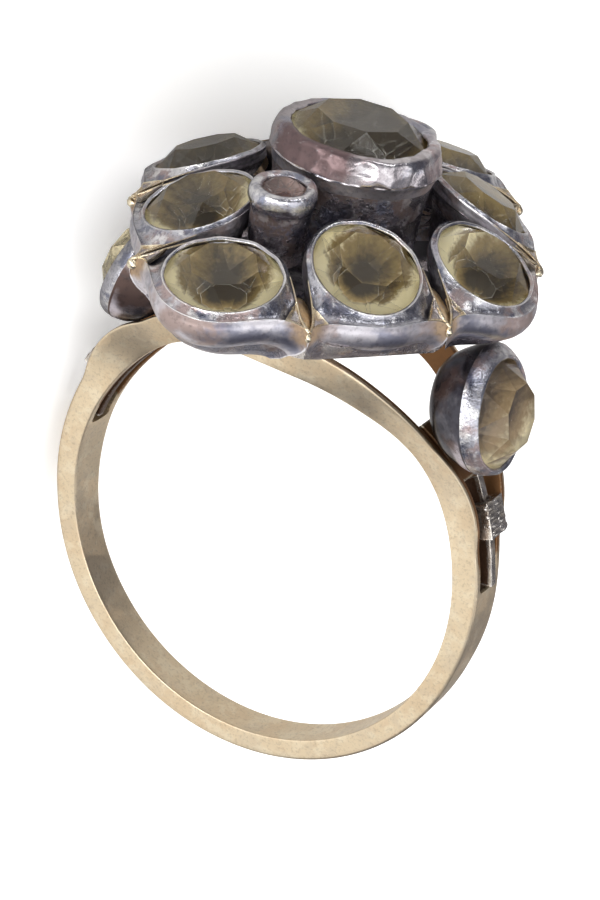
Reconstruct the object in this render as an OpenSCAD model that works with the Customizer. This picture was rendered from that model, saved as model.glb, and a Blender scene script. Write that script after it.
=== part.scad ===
// Cluster ring: a gold shank whose two rails bow apart under a silver head of
// eight petal settings, a raised centre collet and two small accent collets,
// with one more collet on each shoulder.
// The ring is drawn upright: X across the finger, Y along it, Z up to the head,
// with the centre of the finger hole at the origin. lay_down() lays it on its side.

/* [Shank] */
// Radius of the finger hole
finger_r = 8.6; // [8.4:0.1:8.9]
// Width of the band along the finger, at the bottom
band_w = 1.66; // [1.5:0.02:1.8]
// Thickness of the band at the bottom
band_t = 0.9; // [0.8:0.05:1.1]
// Outer radius of the upper half, beyond the finger hole
upper_t = 0.98; // [0.95:0.01:1.1]
// How far the outer circle of the upper half sits above the centre of the hole
upper_lift = 0.39; // [0.3:0.01:0.5]
// Radius of the round swelling on each shoulder
swell_r = 4.3; // [4:0.1:4.6]
// Distance of that swelling's centre from the centre of the hole
swell_out = 5.85; // [5.7:0.05:5.9]
// Angle up the hoop of that swelling
swell_angle = 37; // [34:0.5:40]
// Thickness of each rail along the finger
rail_t = 0.38; // [0.35:0.01:0.42]
// Height where the band splits into its rails
split_z = 1.72; // [1.5:0.05:2]

/* [Shoulders] */
// Angle up the hoop of the ribbed collars
collar_angle = 28; // [26:0.5:30]
// Outer radius of the collars, beyond the finger hole
collar_t = 1.78; // [1.74:0.02:1.84]
// Width of the collars along the finger
collar_w = 1.32; // [1.2:0.02:1.36]
// Width of each of the three ribs on a collar
rib_w = 0.46; // [0.4:0.01:0.5]
// Width of the strip between the rails
strip_w = 0.4; // [0.3:0.02:0.5]
// Place of the shoulder stones across the finger
side_x = 8.3; // [8.2:0.05:8.5]
// How much nearer the left shoulder stone sits
side_inward = 0.42; // [0:0.02:0.46]
// Place of the shoulder stones above the centre of the hole
side_z = 9.05; // [9:0.05:9.2]
// Angle at which the shoulder collets face upward
side_up = 15; // [13:0.5:18]
// Radius of the opening of the shoulder collets
side_open_r = 2.1; // [2:0.02:2.14]
// Outer radius of the shoulder collets
side_cup_r = 2.5; // [2.44:0.02:2.56]
// Depth of the shoulder collets
side_cup_h = 2.4; // [2.3:0.05:2.6]
// How far the opening sits below the middle of its collet
side_off = 0.12; // [0:0.02:0.14]
// Height of a shoulder stone's table above its collet
side_crown = 0.82; // [0.7:0.02:0.9]

/* [Head] */
// Height of the underside of the head above the finger hole
head_seat = 1.46; // [1.4:0.02:1.5]
// How far the petals and the centre collet sit off the middle, across the finger
head_shift = 0.26; // [0:0.02:0.3]
// Width of a petal's bezel on its outer side
bezel_front = 0.44; // [0.4:0.02:0.55]
// Width of a petal's bezel on its flanks
bezel_flank = 0.27; // [0.25:0.01:0.35]
// Height of the wall below a petal's bezel
petal_wall = 1.2; // [1:0.05:1.3]
// Height of a petal stone's table above its bezel
petal_crown = 0.5; // [0.4:0.02:0.6]
// Opening radius of the centre collet
centre_open_r = 2.62; // [2.5:0.02:2.7]
// Outer radius of the centre collet's rim
centre_rim_r = 3.25; // [3.2:0.01:3.35]
// Height of the centre collet's opening above the finger hole
centre_top = 8.9; // [8.7:0.05:9.1]
// Height of the centre stone's table above its collet
centre_crown = 0.62; // [0.5:0.02:0.8]
// Place of the accent stones along the finger
accent_y = 4.82; // [4.75:0.01:4.9]
// Height of the accent collets above the finger hole
accent_top = 7.85; // [7.6:0.05:8]
// Outer radius of the accent collets
accent_r = 1.27; // [1.2:0.01:1.3]
// Opening radius of the accent collets
accent_open_r = 0.82; // [0.75:0.01:0.85]

/* [Lying down] */
// Turn of the ring about its head before it is laid down
lay_roll = 56.72; // [56:0.01:58]
// Turn that lays the ring on its side, on two claws and the edge of the hoop
lay_turn = 94.23; // [93:0.01:96]

/* [Hidden] */
// One row for each kind of petal: across the finger, along it, height above the
// finger hole, direction it faces, tilt, half length outward, half width
ACROSS = 0;
ALONG = 1;
UP = 2;
FACING = 3;
TILT = 4;
HALF_LEN = 5;
HALF_WID = 6;
KINDS = [
    [0.00, 8.66, 5.64, 90, 16, 2.04, 2.08],
    [3.50, 4.76, 6.10, 45, 25, 2.08, 1.98],
    [5.98, 0.00, 5.80, 0, 25, 1.96, 2.30],
];
// The tips between an end and a diagonal petal, and between that and a side petal
TIPS = [
    [3.62, 8.66, 4.85],
    [6.72, 3.90, 4.80],
];

GAP = 0.03;
BIG = 40;
STEPS = 32;
GEM_SIDES = 16;

// A petal's row for each of the eight places, anticlockwise from the far end
function mirrored(row, sx, sy) = [
    head_shift + sx * row[ACROSS], sy * row[ALONG], row[UP],
    atan2(sy * sin(row[FACING]), sx * cos(row[FACING])),
    row[TILT], row[HALF_LEN], row[HALF_WID],
];
PETALS = [
    mirrored(KINDS[0], 1, 1),
    mirrored(KINDS[1], -1, 1),
    mirrored(KINDS[2], -1, 1),
    mirrored(KINDS[1], -1, -1),
    mirrored(KINDS[0], 1, -1),
    mirrored(KINDS[1], 1, -1),
    mirrored(KINDS[2], 1, 1),
    mirrored(KINDS[1], 1, 1),
];
// Tip k lies between petal k and petal k + 1
TIP_AT = [
    for (t = [[0, -1, 1], [1, -1, 1], [1, -1, -1], [0, -1, -1],
              [0, 1, -1], [1, 1, -1], [1, 1, 1], [0, 1, 1]])
        [head_shift + t[1] * TIPS[t[0]].x, t[2] * TIPS[t[0]].y, finger_r + TIPS[t[0]].z]
];

// Axes of a petal's tilted face: outward, sideways and up from it
function out_dir(p) = [cos(p[TILT]) * cos(p[FACING]), cos(p[TILT]) * sin(p[FACING]), -sin(p[TILT])];
function side_dir(p) = [-sin(p[FACING]), cos(p[FACING]), 0];
function up_dir(p) = cross(out_dir(p), side_dir(p));
function petal_centre(p) = [p[ACROSS], p[ALONG], finger_r + p[UP]];
function on_petal(p, u, v, w) = petal_centre(p) + u * out_dir(p) + v * side_dir(p) + w * up_dir(p);
function mix(a, b, t) = a * (1 - t) + b * t;

// A closed skin through rings of equal numbers of points, first and last ring capped
function skin_faces(rings, n) = concat(
    [[for (i = [0:n - 1]) i]],
    [
        for (k = [0:rings - 2], i = [0:n - 1], side = [0, 1])
            let (a = k * n + i, b = k * n + (i + 1) % n)
                side == 0 ? [a, a + n, b] : [b, a + n, b + n]
    ],
    [[for (i = [n - 1:-1:0]) (rings - 1) * n + i]]
);
module skin(rings) {
    n = len(rings[0]);
    points = [for (r = rings, p = r) p];
    polyhedron(points, skin_faces(len(rings), n), convexity = 6);
}

// Lays the finished ring on its left side, head towards the front
module lay_down() {
    rotate([-lay_turn, 0, 180]) rotate([0, 0, -lay_roll]) children();
}

// Blank of the hoop, w wide along the finger: overlapping outer circles
module hoop_disc(w, grow = 0) {
    rotate([90, 0, 0]) translate([0, 0, -w / 2]) {
        cylinder(h = w, r = finger_r + band_t + grow, $fn = 96);
        translate([0, upper_lift, 0]) cylinder(h = w, r = finger_r + upper_t + grow, $fn = 96);
        for (a = [swell_angle, 180 - swell_angle])
            rotate([0, 0, a]) translate([swell_out, 0, 0])
                cylinder(h = w, r = swell_r + grow, $fn = 64);
    }
}
module finger_hole(w) {
    rotate([90, 0, 0]) translate([0, 0, -w / 2]) cylinder(h = w, r = finger_r, $fn = 96);
}

// One row for each place along a rail: angle up the hoop, then how far its face
// stands off the middle: near rail at the finger, near rail outside, far rail at the
// finger, far rail outside
NEAR_IN = 1;
NEAR_OUT = 2;
FAR_IN = 3;
FAR_OUT = 4;
RAILS = [
    [0, 0.90, 0.90, 1.12, 1.12],
    [16, 0.88, 0.90, 1.14, 1.18],
    [22, 0.84, 0.98, 1.24, 1.40],
    [31, 0.72, 1.06, 1.60, 1.72],
    [43, 0.76, 1.42, 2.40, 2.50],
    [54, 1.14, 1.92, 3.45, 3.50],
    [62, 1.80, 2.30, 4.20, 4.20],
    [78, 2.67, 2.85, 4.42, 4.42],
    [90, 3.10, 3.30, 4.50, 4.50],
];
RAIL_STEPS = 40;
RAIL_FROM = 4;
RAIL_DEPTH = 1.45;
RAIL_LOW = -0.2;
RAIL_HIGH = 1.75;
EASE = [-6, -3, 0, 3, 6];
function stand_off(col, a) =
    let (
        rows = [for (row = RAILS) [row[0], row[col]]],
        nearby = [for (e = EASE) lookup(min(a + e, 180 - a - e), rows)]
    ) nearby * [for (e = EASE) 1 / len(EASE)];
function rail_point(a, r, y) = [r * cos(a), y, r * sin(a)];
function rail_section(a, col) =
    let (
        at_finger = stand_off(col, a),
        lean = (stand_off(col + 1, a) - at_finger) / RAIL_DEPTH,
        low = at_finger + RAIL_LOW * lean,
        high = at_finger + RAIL_HIGH * lean
    ) [
        rail_point(a, finger_r + RAIL_LOW, low - rail_t),
        rail_point(a, finger_r + RAIL_HIGH, high - rail_t),
        rail_point(a, finger_r + RAIL_HIGH, high),
        rail_point(a, finger_r + RAIL_LOW, low),
    ];
module rail(col) {
    step = (180 - 2 * RAIL_FROM) / RAIL_STEPS;
    skin([for (i = [0:RAIL_STEPS]) rail_section(RAIL_FROM + i * step, col)]);
}

// Side view of the plain band, which widens a little towards the split
TAPER_Z = -4;
SPLIT_LAP = 0.3;
SPLIT_PROUD = 0.02;
module band_plan() {
    near = RAILS[0][NEAR_IN] + SPLIT_PROUD;
    far = RAILS[0][FAR_IN] + SPLIT_PROUD;
    rotate([90, 0, 90]) translate([0, 0, -BIG / 2]) linear_extrude(BIG)
        polygon([
            [-band_w / 2, -BIG],
            [band_w / 2, -BIG],
            [band_w / 2, TAPER_Z],
            [far, split_z - SPLIT_LAP],
            [far, split_z],
            [-near, split_z],
            [-near, split_z - SPLIT_LAP],
            [-band_w / 2, TAPER_Z],
        ]);
}

// Gold plate that carries a shoulder collet between the rails
PLATE_FROM = 38;
PLATE_TO = 54;
PLATE_LOW = 0.5;
PLATE_HIGH = 1.12;
PLATE_STEPS = 6;
function plate_section(a) =
    let (
        near = -stand_off(NEAR_IN, a) + rail_t / 2,
        far = stand_off(FAR_IN, a) - rail_t / 2
    ) [
        rail_point(a, finger_r + PLATE_LOW, near),
        rail_point(a, finger_r + PLATE_HIGH, near),
        rail_point(a, finger_r + PLATE_HIGH, far),
        rail_point(a, finger_r + PLATE_LOW, far),
    ];
module seat_plate() {
    step = (PLATE_TO - PLATE_FROM) / PLATE_STEPS;
    skin([for (i = [0:PLATE_STEPS]) plate_section(PLATE_FROM + i * step)]);
}

HOOP_WIDE = 12;
module shank() {
    rails_z = split_z - SPLIT_LAP / 2;
    color([0.86, 0.72, 0.44]) difference() {
        union() {
            intersection() {
                hoop_disc(HOOP_WIDE);
                band_plan();
            }
            intersection() {
                hoop_disc(HOOP_WIDE);
                translate([-BIG / 2, -BIG / 2, rails_z])
                    cube([BIG, BIG, finger_r + head_seat - rails_z]);
                union() {
                    rail(FAR_IN);
                    mirror([0, 1, 0]) rail(NEAR_IN);
                }
            }
            for (s = [0, 1]) mirror([s, 0, 0]) seat_plate();
        }
        finger_hole(HOOP_WIDE + 2);
    }
}

// Silver strip midway between the rails of a shoulder, with its ribbed collar
STRIP_T = 1.3;
STRIP_PLAY = 0.6;
STRIP_STEPS = 12;
PLATE_PLAY = 0.3;
COLLAR_BITE = 0.5;
function between(a) = (stand_off(FAR_IN, a) - stand_off(NEAR_IN, a)) / 2;
function strip_section(a) = [
    rail_point(a, finger_r + GAP, between(a) - strip_w / 2),
    rail_point(a, finger_r + STRIP_T, between(a) - strip_w / 2),
    rail_point(a, finger_r + STRIP_T, between(a) + strip_w / 2),
    rail_point(a, finger_r + GAP, between(a) + strip_w / 2),
];
module shoulder_strip() {
    collar_span = 3 * rib_w / (finger_r + collar_t) * 180 / PI;
    strip_from = asin((split_z + GAP) / finger_r) + STRIP_PLAY;
    strip_step = (PLATE_FROM - PLATE_PLAY - strip_from) / STRIP_STEPS;
    rib_r = finger_r + collar_t - rib_w / 2;
    low = finger_r + STRIP_T - COLLAR_BITE;
    color([0.62, 0.62, 0.64]) {
        skin([for (i = [0:STRIP_STEPS]) strip_section(strip_from + i * strip_step)]);
        translate([0, between(collar_angle), 0]) {
            rotate([90, 0, 0]) rotate([0, 0, collar_angle - collar_span / 2])
                rotate_extrude(angle = collar_span, $fn = 96)
                    translate([low, -collar_w / 2]) square([rib_r - low, collar_w]);
            for (k = [-1:1])
                rotate([0, -collar_angle - k * collar_span / 3, 0])
                    translate([rib_r, 0, 0]) rotate([90, 0, 0])
                        cylinder(h = collar_w, r = rib_w / 2, center = true, $fn = 24);
        }
    }
}

// Outside of a shoulder collet, open face towards +Z before it is placed
module cup_outside(r, depth) {
    rotate_extrude($fn = 64) polygon([
        [0, -depth],
        [r * 0.42, -depth],
        [r * 0.68, -depth * 0.92],
        [r * 0.86, -depth * 0.7],
        [r * 0.97, -depth * 0.4],
        [r, -depth * 0.18],
        [r * 0.985, -0.25],
        [r * 0.88, 0.1],
        [0, 0.1],
    ]);
}
// Seat under a bezel: the opening, an undercut for the girdle and a floor below it
SEAT_DEPTH = 1.6;
UNDERCUT = 0.16;
module cup_seat(r) {
    rotate_extrude($fn = 64) polygon([
        [0, -SEAT_DEPTH],
        [r * 0.5, -SEAT_DEPTH],
        [r + UNDERCUT, -0.5],
        [r + UNDERCUT, -0.16],
        [r, -0.05],
        [r, 0.02],
        [r + 0.06, 0.11],
        [0, 0.11],
    ]);
}
module side_place(inward) {
    translate([side_x - inward, 0, side_z]) rotate([0, 90 - side_up, 0]) children();
}
module shoulder_collet(inward) {
    color([0.5, 0.5, 0.53]) difference() {
        side_place(inward) translate([-side_off, 0, 0]) cup_outside(side_cup_r, side_cup_h);
        side_place(inward) cup_seat(side_open_r);
        hoop_disc(HOOP_WIDE, GAP);
    }
}

// A cut stone: eight-sided table, crown, thin girdle and pavilion on an oval outline
function oval_ring(a, b, w, n, turn) = [
    for (i = [0:n - 1]) let (t = 360 * i / n + turn) [a * cos(t), b * sin(t), w]
];
module gem(a, b, crown, lip = 0.22, girdle = 0.18, pavilion = 1.05, table = 0.56) {
    n = GEM_SIDES;
    grow = 0.12;
    mid = 0.8;
    rings = [
        oval_ring(a * 0.12, b * 0.12, -lip - girdle - pavilion, n, 0),
        oval_ring(a * 0.62, b * 0.62, -lip - girdle - pavilion * 0.56, n, 0),
        oval_ring(a + grow, b + grow, -lip - girdle, n, 0),
        oval_ring(a + grow, b + grow, -lip, n, 0),
        oval_ring(a * mid, b * mid, mix(-lip, crown, 0.55), n, 0),
        [
            for (i = [0:n - 1])
                let (
                    t = 360 * i / n,
                    flat = cos(22.5) / cos(abs(t % 45 - 22.5))
                ) [a * table * flat * cos(t), b * table * flat * sin(t), crown]
        ],
    ];
    skin(rings);
}

module on_face(p) {
    multmatrix([
        for (k = [0:2]) [out_dir(p)[k], side_dir(p)[k], up_dir(p)[k], petal_centre(p)[k]]
    ]) children();
}

// Petal cup: a closed skin from its narrow foot, up the lobed wall, over the bezel
// and down into the seat of the stone. Its two outer corners run out to the tips.
BEZEL_RISE = 0.1;
CORNER_SPREAD = 58;
FOOT_Z = 3.1;
function corner_at(p, tip) =
    let (d = tip - petal_centre(p), step = 360 / STEPS)
        step * round(atan2(d * side_dir(p), d * out_dir(p)) / step);
function turn_between(a, b) = abs((a - b + 540) % 360 - 180);
function pull(t, corner, power) = pow(max(0, 1 - turn_between(t, corner) / CORNER_SPREAD), power);
function bezel_width(t) = bezel_flank + (bezel_front - bezel_flank) * max(0, cos(t));
function bezel_edge(p, tips, t) =
    let (
        plain = on_petal(
            p, (p[HALF_LEN] + bezel_width(t)) * cos(t), (p[HALF_WID] + bezel_width(t)) * sin(t), -0.12
        ),
        a = pull(t, corner_at(p, tips[0]), 1.7),
        b = pull(t, corner_at(p, tips[1]), 1.7)
    ) plain + a * (tips[0] - plain) + b * (tips[1] - plain);
function petal_ring(p, a, b, w) = [
    for (i = [0:STEPS - 1]) let (t = 360 * i / STEPS) on_petal(p, a * cos(t), b * sin(t), w)
];
function wall_ring(p, tips, inset, drop) = [
    for (i = [0:STEPS - 1])
        let (
            edge = bezel_edge(p, tips, 360 * i / STEPS),
            foot = petal_centre(p) * 0.9
        ) [mix(edge.x, foot.x, inset), mix(edge.y, foot.y, inset), edge.z - drop]
];
function foot_ring(p, tips, inset, level) = [
    for (q = wall_ring(p, tips, inset, 0)) [q.x, q.y, level]
];
module petal_cup(k) {
    p = PETALS[k];
    tips = [TIP_AT[k], TIP_AT[(k + 7) % 8]];
    a = p[HALF_LEN];
    b = p[HALF_WID];
    foot_z = finger_r + FOOT_Z;
    skin([
        foot_ring(p, tips, 0.6, foot_z),
        foot_ring(p, tips, 0.4, foot_z + 0.1),
        wall_ring(p, tips, 0.18, petal_wall),
        wall_ring(p, tips, 0.06, petal_wall * 0.82),
        wall_ring(p, tips, -0.01, petal_wall * 0.5),
        wall_ring(p, tips, -0.02, petal_wall * 0.2),
        wall_ring(p, tips, 0, 0),
        petal_ring(p, a + 0.2, b + 0.2, BEZEL_RISE),
        petal_ring(p, a, b, 0.02),
        petal_ring(p, a, b, -0.05),
        petal_ring(p, a + UNDERCUT, b + UNDERCUT, -0.16),
        petal_ring(p, a + UNDERCUT, b + UNDERCUT, -0.5),
        petal_ring(p, a * 0.5, b * 0.5, -SEAT_DEPTH),
    ]);
}

// Gilt claw folded over the corner where two petals meet
function claw_points(k, grow) =
    let (
        t = TIP_AT[k],
        inward = -[t.x - head_shift, t.y, 0] / norm([t.x - head_shift, t.y]),
        across = [-inward.y, inward.x, 0]
    ) [
        t - (0.14 + grow) * inward + [0, 0, 0.1 + grow],
        t + (1.35 + grow) * inward + [0, 0, 0.55 + grow],
        t + 0.25 * inward + (0.42 + grow) * across + [0, 0, 0.3 + grow],
        t + 0.25 * inward - (0.42 + grow) * across + [0, 0, 0.3 + grow],
        t + 0.3 * inward + (0.3 + grow) * across - [0, 0, 0.5 + grow],
        t + 0.3 * inward - (0.3 + grow) * across - [0, 0, 0.5 + grow],
        t - (0.12 + grow) * inward - [0, 0, 0.8 + grow],
        t + (1.0 + grow) * inward - [0, 0, 0.1 + grow],
    ];
module claw_hull(k, grow) {
    hull() for (q = claw_points(k, grow)) translate(q) cube(0.02, center = true);
}
module claw(k) {
    color([0.85, 0.7, 0.4]) claw_hull(k, 0);
}

module cup_at(z) {
    translate([head_shift, 0, finger_r + z]) children();
}
module centre_cup() {
    r = centre_rim_r;
    cup_at(centre_top) rotate_extrude($fn = 48) polygon([
        [0, -5.2],
        [r * 0.88, -5.2],
        [r * 0.9, -2.2],
        [r * 0.99, -0.9],
        [r, -0.65],
        [r * 0.97, -0.2],
        [r * 0.93, 0.05],
        [centre_open_r + 0.12, 0.08],
        [centre_open_r, 0],
        [centre_open_r, -0.05],
        [centre_open_r + UNDERCUT, -0.16],
        [centre_open_r + UNDERCUT, -0.5],
        [centre_open_r * 0.5, -1.8],
        [0, -1.8],
    ]);
}
ACCENT_TILT = 8;
module accent_place(s) {
    translate([0, s * accent_y, finger_r + accent_top]) rotate([-s * ACCENT_TILT, 0, 0]) children();
}
module accent_cup(s) {
    r = accent_r;
    accent_place(s) rotate_extrude($fn = 28) polygon([
        [0, -2.8],
        [r * 0.82, -2.8],
        [r * 0.86, -0.75],
        [r * 0.99, -0.42],
        [r, -0.2],
        [r * 0.93, 0.04],
        [r * 0.8, 0.1],
        [accent_open_r + 0.05, 0.04],
        [accent_open_r, -0.02],
        [accent_open_r + 0.1, -0.1],
        [accent_open_r + 0.1, -0.25],
        [accent_open_r * 0.5, -0.8],
        [0, -0.8],
    ]);
}
// Closed back of the head, from its flat seat on the rails up into the petals, and
// the floor of the valleys between them
VALLEY_Z = 3.5;
VALLEY_T = 0.5;
VALLEY_REACH = 0.95;
module valley_floor() {
    translate([0, 0, finger_r + VALLEY_Z]) linear_extrude(VALLEY_T)
        polygon([for (t = TIP_AT) VALLEY_REACH * [t.x, t.y]]);
}
module head_back() {
    z0 = finger_r + head_seat + GAP;
    hull() {
        translate([0, 0.8, z0]) scale([0.6, 1, 1]) cylinder(h = 0.3, r = 4.5, $fn = 40);
        translate([0, 0, finger_r + FOOT_Z]) scale([0.62, 1, 1]) cylinder(h = 0.98, r = 8.3, $fn = 48);
    }
}
module cluster_setting() {
    color([0.5, 0.5, 0.53]) union() {
        difference() {
            union() {
                head_back();
                valley_floor();
                for (k = [0:7]) petal_cup(k);
                centre_cup();
                for (s = [-1, 1]) accent_cup(s);
            }
            for (k = [0:7]) claw_hull(k, GAP);
        }
    }
}

STONE_COLOUR = [0.62, 0.58, 0.34];
module petal_stone(k) {
    p = PETALS[k];
    color(STONE_COLOUR) on_face(p) gem(p[HALF_LEN], p[HALF_WID], petal_crown);
}
module centre_stone() {
    color(STONE_COLOUR) cup_at(centre_top)
        gem(centre_open_r, centre_open_r, centre_crown, pavilion = 1.2, table = 0.62);
}
module accent_stone(s) {
    color([0.6, 0.52, 0.48]) accent_place(s)
        gem(accent_open_r - 0.04, accent_open_r - 0.04, 0.1, lip = 0.16, girdle = 0.08, pavilion = 0.4);
}
module shoulder_stone(inward) {
    color(STONE_COLOUR) side_place(inward) gem(side_open_r, side_open_r, side_crown, table = 0.6);
}

lay_down() shank();
lay_down() mirror([1, 0, 0]) shoulder_strip();  // shoulder_strip_left
lay_down() shoulder_strip();  // shoulder_strip_right
lay_down() mirror([1, 0, 0]) shoulder_collet(side_inward);  // shoulder_collet_left
lay_down() shoulder_collet(0);  // shoulder_collet_right
lay_down() mirror([1, 0, 0]) shoulder_stone(side_inward);  // shoulder_stone_left
lay_down() shoulder_stone(0);  // shoulder_stone_right
lay_down() cluster_setting();
for (k = [1:8]) lay_down() claw(k - 1);
for (k = [1:8]) lay_down() petal_stone(k - 1);
lay_down() centre_stone();
lay_down() accent_stone(-1);  // accent_stone_1
lay_down() accent_stone(1);  // accent_stone_2
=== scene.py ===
from math import atan2, cos, degrees, pi, radians, sin, sqrt

import bmesh
import bpy
import numpy as np
from mathutils import Matrix, Vector, noise
from mathutils.bvhtree import BVHTree


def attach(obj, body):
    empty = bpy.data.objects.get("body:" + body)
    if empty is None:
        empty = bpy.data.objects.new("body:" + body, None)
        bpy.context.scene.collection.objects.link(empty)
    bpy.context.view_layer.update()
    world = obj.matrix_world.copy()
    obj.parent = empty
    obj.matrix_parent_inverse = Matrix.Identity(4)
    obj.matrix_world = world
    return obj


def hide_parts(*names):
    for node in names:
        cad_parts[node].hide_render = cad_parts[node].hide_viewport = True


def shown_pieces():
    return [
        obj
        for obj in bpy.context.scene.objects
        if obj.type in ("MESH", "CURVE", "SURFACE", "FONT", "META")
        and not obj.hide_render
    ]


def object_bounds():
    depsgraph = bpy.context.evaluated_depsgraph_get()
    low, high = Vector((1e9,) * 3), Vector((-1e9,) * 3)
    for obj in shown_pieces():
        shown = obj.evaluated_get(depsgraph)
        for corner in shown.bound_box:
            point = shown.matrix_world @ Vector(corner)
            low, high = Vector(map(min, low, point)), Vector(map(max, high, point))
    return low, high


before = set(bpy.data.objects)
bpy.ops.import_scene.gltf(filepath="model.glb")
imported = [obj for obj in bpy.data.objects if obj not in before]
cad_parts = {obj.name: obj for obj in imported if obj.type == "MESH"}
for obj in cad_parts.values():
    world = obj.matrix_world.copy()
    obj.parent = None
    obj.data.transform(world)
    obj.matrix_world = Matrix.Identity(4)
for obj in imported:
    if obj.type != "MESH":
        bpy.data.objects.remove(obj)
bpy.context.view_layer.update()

# The gold hoop
# Flat wire of low-carat gold bent into a hoop, sawn along its middle at each shoulder
# and spread into two rails that carry the head. Everything is drawn upright in
# millimetres, X across the finger and Z up to the head, then laid on its side.
# FINGER_R is the finger hole's radius; ROLL and TURN lay the upright ring down
FINGER_R = 8.6
ROLL, TURN = 56.72, 94.23
LAID = (
    Matrix.Rotation(pi, 4, "Z")
    @ Matrix.Rotation(radians(-TURN), 4, "X")
    @ Matrix.Rotation(radians(-ROLL), 4, "Z")
    @ Matrix.Scale(0.001, 4)
)
# the outside follows these circles: distance of the centre from the hole's, angle up
# the hoop, radius; BLEND values round off where two of them meet
OUTER_CIRCLES = [(0.0, 0, 9.5), (0.39, 90, 9.58), (5.85, 37, 4.3), (5.85, 143, 4.3)]
BLEND_POWER, BLEND_EASE, BLEND_LOW, BLEND_HIGH = 60, 90, 0.01, 0.02
# the band's greatest height under the head, and where the saw cut starts, in degrees
HEAD_SEAT = 1.46
SPLIT_AT = 10.9
SPLIT_ROUND = (0.25, 1.1)
RAIL_T = 0.38
RAIL_DEPTH = 1.45
RAIL_SMOOTHED_OVER = (-6, -3, 0, 3, 6)
HOOP_STEP = 1.5
HOOP_SWAY = 0.02
SPLIT_EDGES, OUTER_EDGES = (0.05, 0.06), (0.13, 0.07)
SIDE_STEPS, BEND_STEPS = 5, 5
NEAR, FAR = 1, 3
# angle up the hoop, then how far the near rail stands off the middle, at the finger
# and outside, and the same for the far rail
RAIL_ROWS = np.array([
    [-60, 0.83, 0.83, 0.83, 0.83],
    [-26, 0.83, 0.83, 0.84, 0.84],
    [0, 0.90, 0.90, 1.10, 1.12],
    [16, 0.88, 0.90, 1.14, 1.18],
    [22, 0.84, 0.98, 1.24, 1.40],
    [31, 0.72, 1.06, 1.60, 1.72],
    [43, 0.76, 1.42, 2.40, 2.50],
    [54, 1.14, 1.92, 3.45, 3.50],
    [62, 1.80, 2.30, 4.20, 4.20],
    [78, 2.67, 2.85, 4.42, 4.42],
    [90, 3.10, 3.30, 4.50, 4.50],
])


def outside_radius(a):
    """How far the hoop reaches outward at an angle: several circles blended, cut flat under the head."""
    reach = []
    for d, at, r in OUTER_CIRCLES:
        off = radians(a - at)
        inside = r * r - (d * sin(off)) ** 2
        if inside > 0:
            reach.append(d * cos(off) + sqrt(inside))
    soft = sum(q ** BLEND_POWER for q in reach) ** (1 / BLEND_POWER) / len(reach) ** (1 / BLEND_EASE)
    r = max(max(reach) - BLEND_LOW, min(soft, max(reach) + BLEND_HIGH))
    top = sin(radians(a))
    return min(r, (FINGER_R + HEAD_SEAT) / top) if top > 0.5 else r


def rail_place(col, a):
    folded = a if a <= 90 else 180 - a
    spread = [min(folded + e, 180 - folded - e) for e in RAIL_SMOOTHED_OVER]
    return sum(np.interp(s, RAIL_ROWS[:, 0], RAIL_ROWS[:, col]) for s in spread) / len(spread)


def between(a):
    return (rail_place(FAR, a) - rail_place(NEAR, a)) / 2


def around(a, r, y, mirror=1):
    return (mirror * r * cos(radians(a)), y, r * sin(radians(a)))


def put_in_scene(name, data):
    obj = bpy.data.objects.new(name, data)
    bpy.context.scene.collection.objects.link(obj)
    return obj


def finished_mesh(obj):
    bpy.context.view_layer.update()
    return bpy.data.meshes.new_from_object(obj.evaluated_get(bpy.context.evaluated_depsgraph_get()))


def solid(name, points, faces, place=LAID, kinds=None, slots=()):
    mesh = bpy.data.meshes.new(name)
    mesh.from_pydata([place @ Vector(p) for p in points], [], faces)
    for m in slots:
        mesh.materials.append(m)
    if kinds:
        mesh.polygons.foreach_set("material_index", kinds)
    bm = bmesh.new()
    bm.from_mesh(mesh)
    bmesh.ops.remove_doubles(bm, verts=bm.verts, dist=1e-7)
    bmesh.ops.recalc_face_normals(bm, faces=bm.faces)
    bm.to_mesh(mesh)
    bm.free()
    return put_in_scene(name, mesh)


def skin(rings, closed=False):
    """Points and faces of a tube through rings of equal length, capped or closed on itself."""
    n, m = len(rings[0]), len(rings)
    faces = [
        (k * n + i, k * n + (i + 1) % n, (k + 1) % m * n + (i + 1) % n, (k + 1) % m * n + i)
        for k in range(m if closed else m - 1) for i in range(n)
    ]
    if not closed:
        faces += [tuple(range(n)), tuple(range((m - 1) * n, m * n))]
    return [p for ring in rings for p in ring], faces


def combine(name, body, others, how="UNION"):
    for other in others:
        mod = body.modifiers.new("join", "BOOLEAN")
        mod.operation, mod.solver, mod.object = how, "MANIFOLD", other
    whole = finished_mesh(body)
    for gone in [body, *others]:
        bpy.data.objects.remove(gone)
    return put_in_scene(name, whole)


def rounded_section(corners, radii):
    """A flat outline with its corners rounded off."""
    ring = []
    for k, (c, r) in enumerate(zip(corners, radii)):
        c, last, nxt = Vector(c), Vector(corners[k - 1]), Vector(corners[(k + 1) % len(corners)])
        start = c + (last - c).normalized() * r
        end = c + (nxt - c).normalized() * r
        for i in range(BEND_STEPS):
            t = i / (BEND_STEPS - 1)
            ring.append(start * (1 - t) ** 2 + c * 2 * t * (1 - t) + end * t * t)
        stop = nxt - (nxt - c).normalized() * radii[(k + 1) % len(corners)]
        ring += [end.lerp(stop, j / SIDE_STEPS) for j in range(1, SIDE_STEPS)]
    return ring


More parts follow.
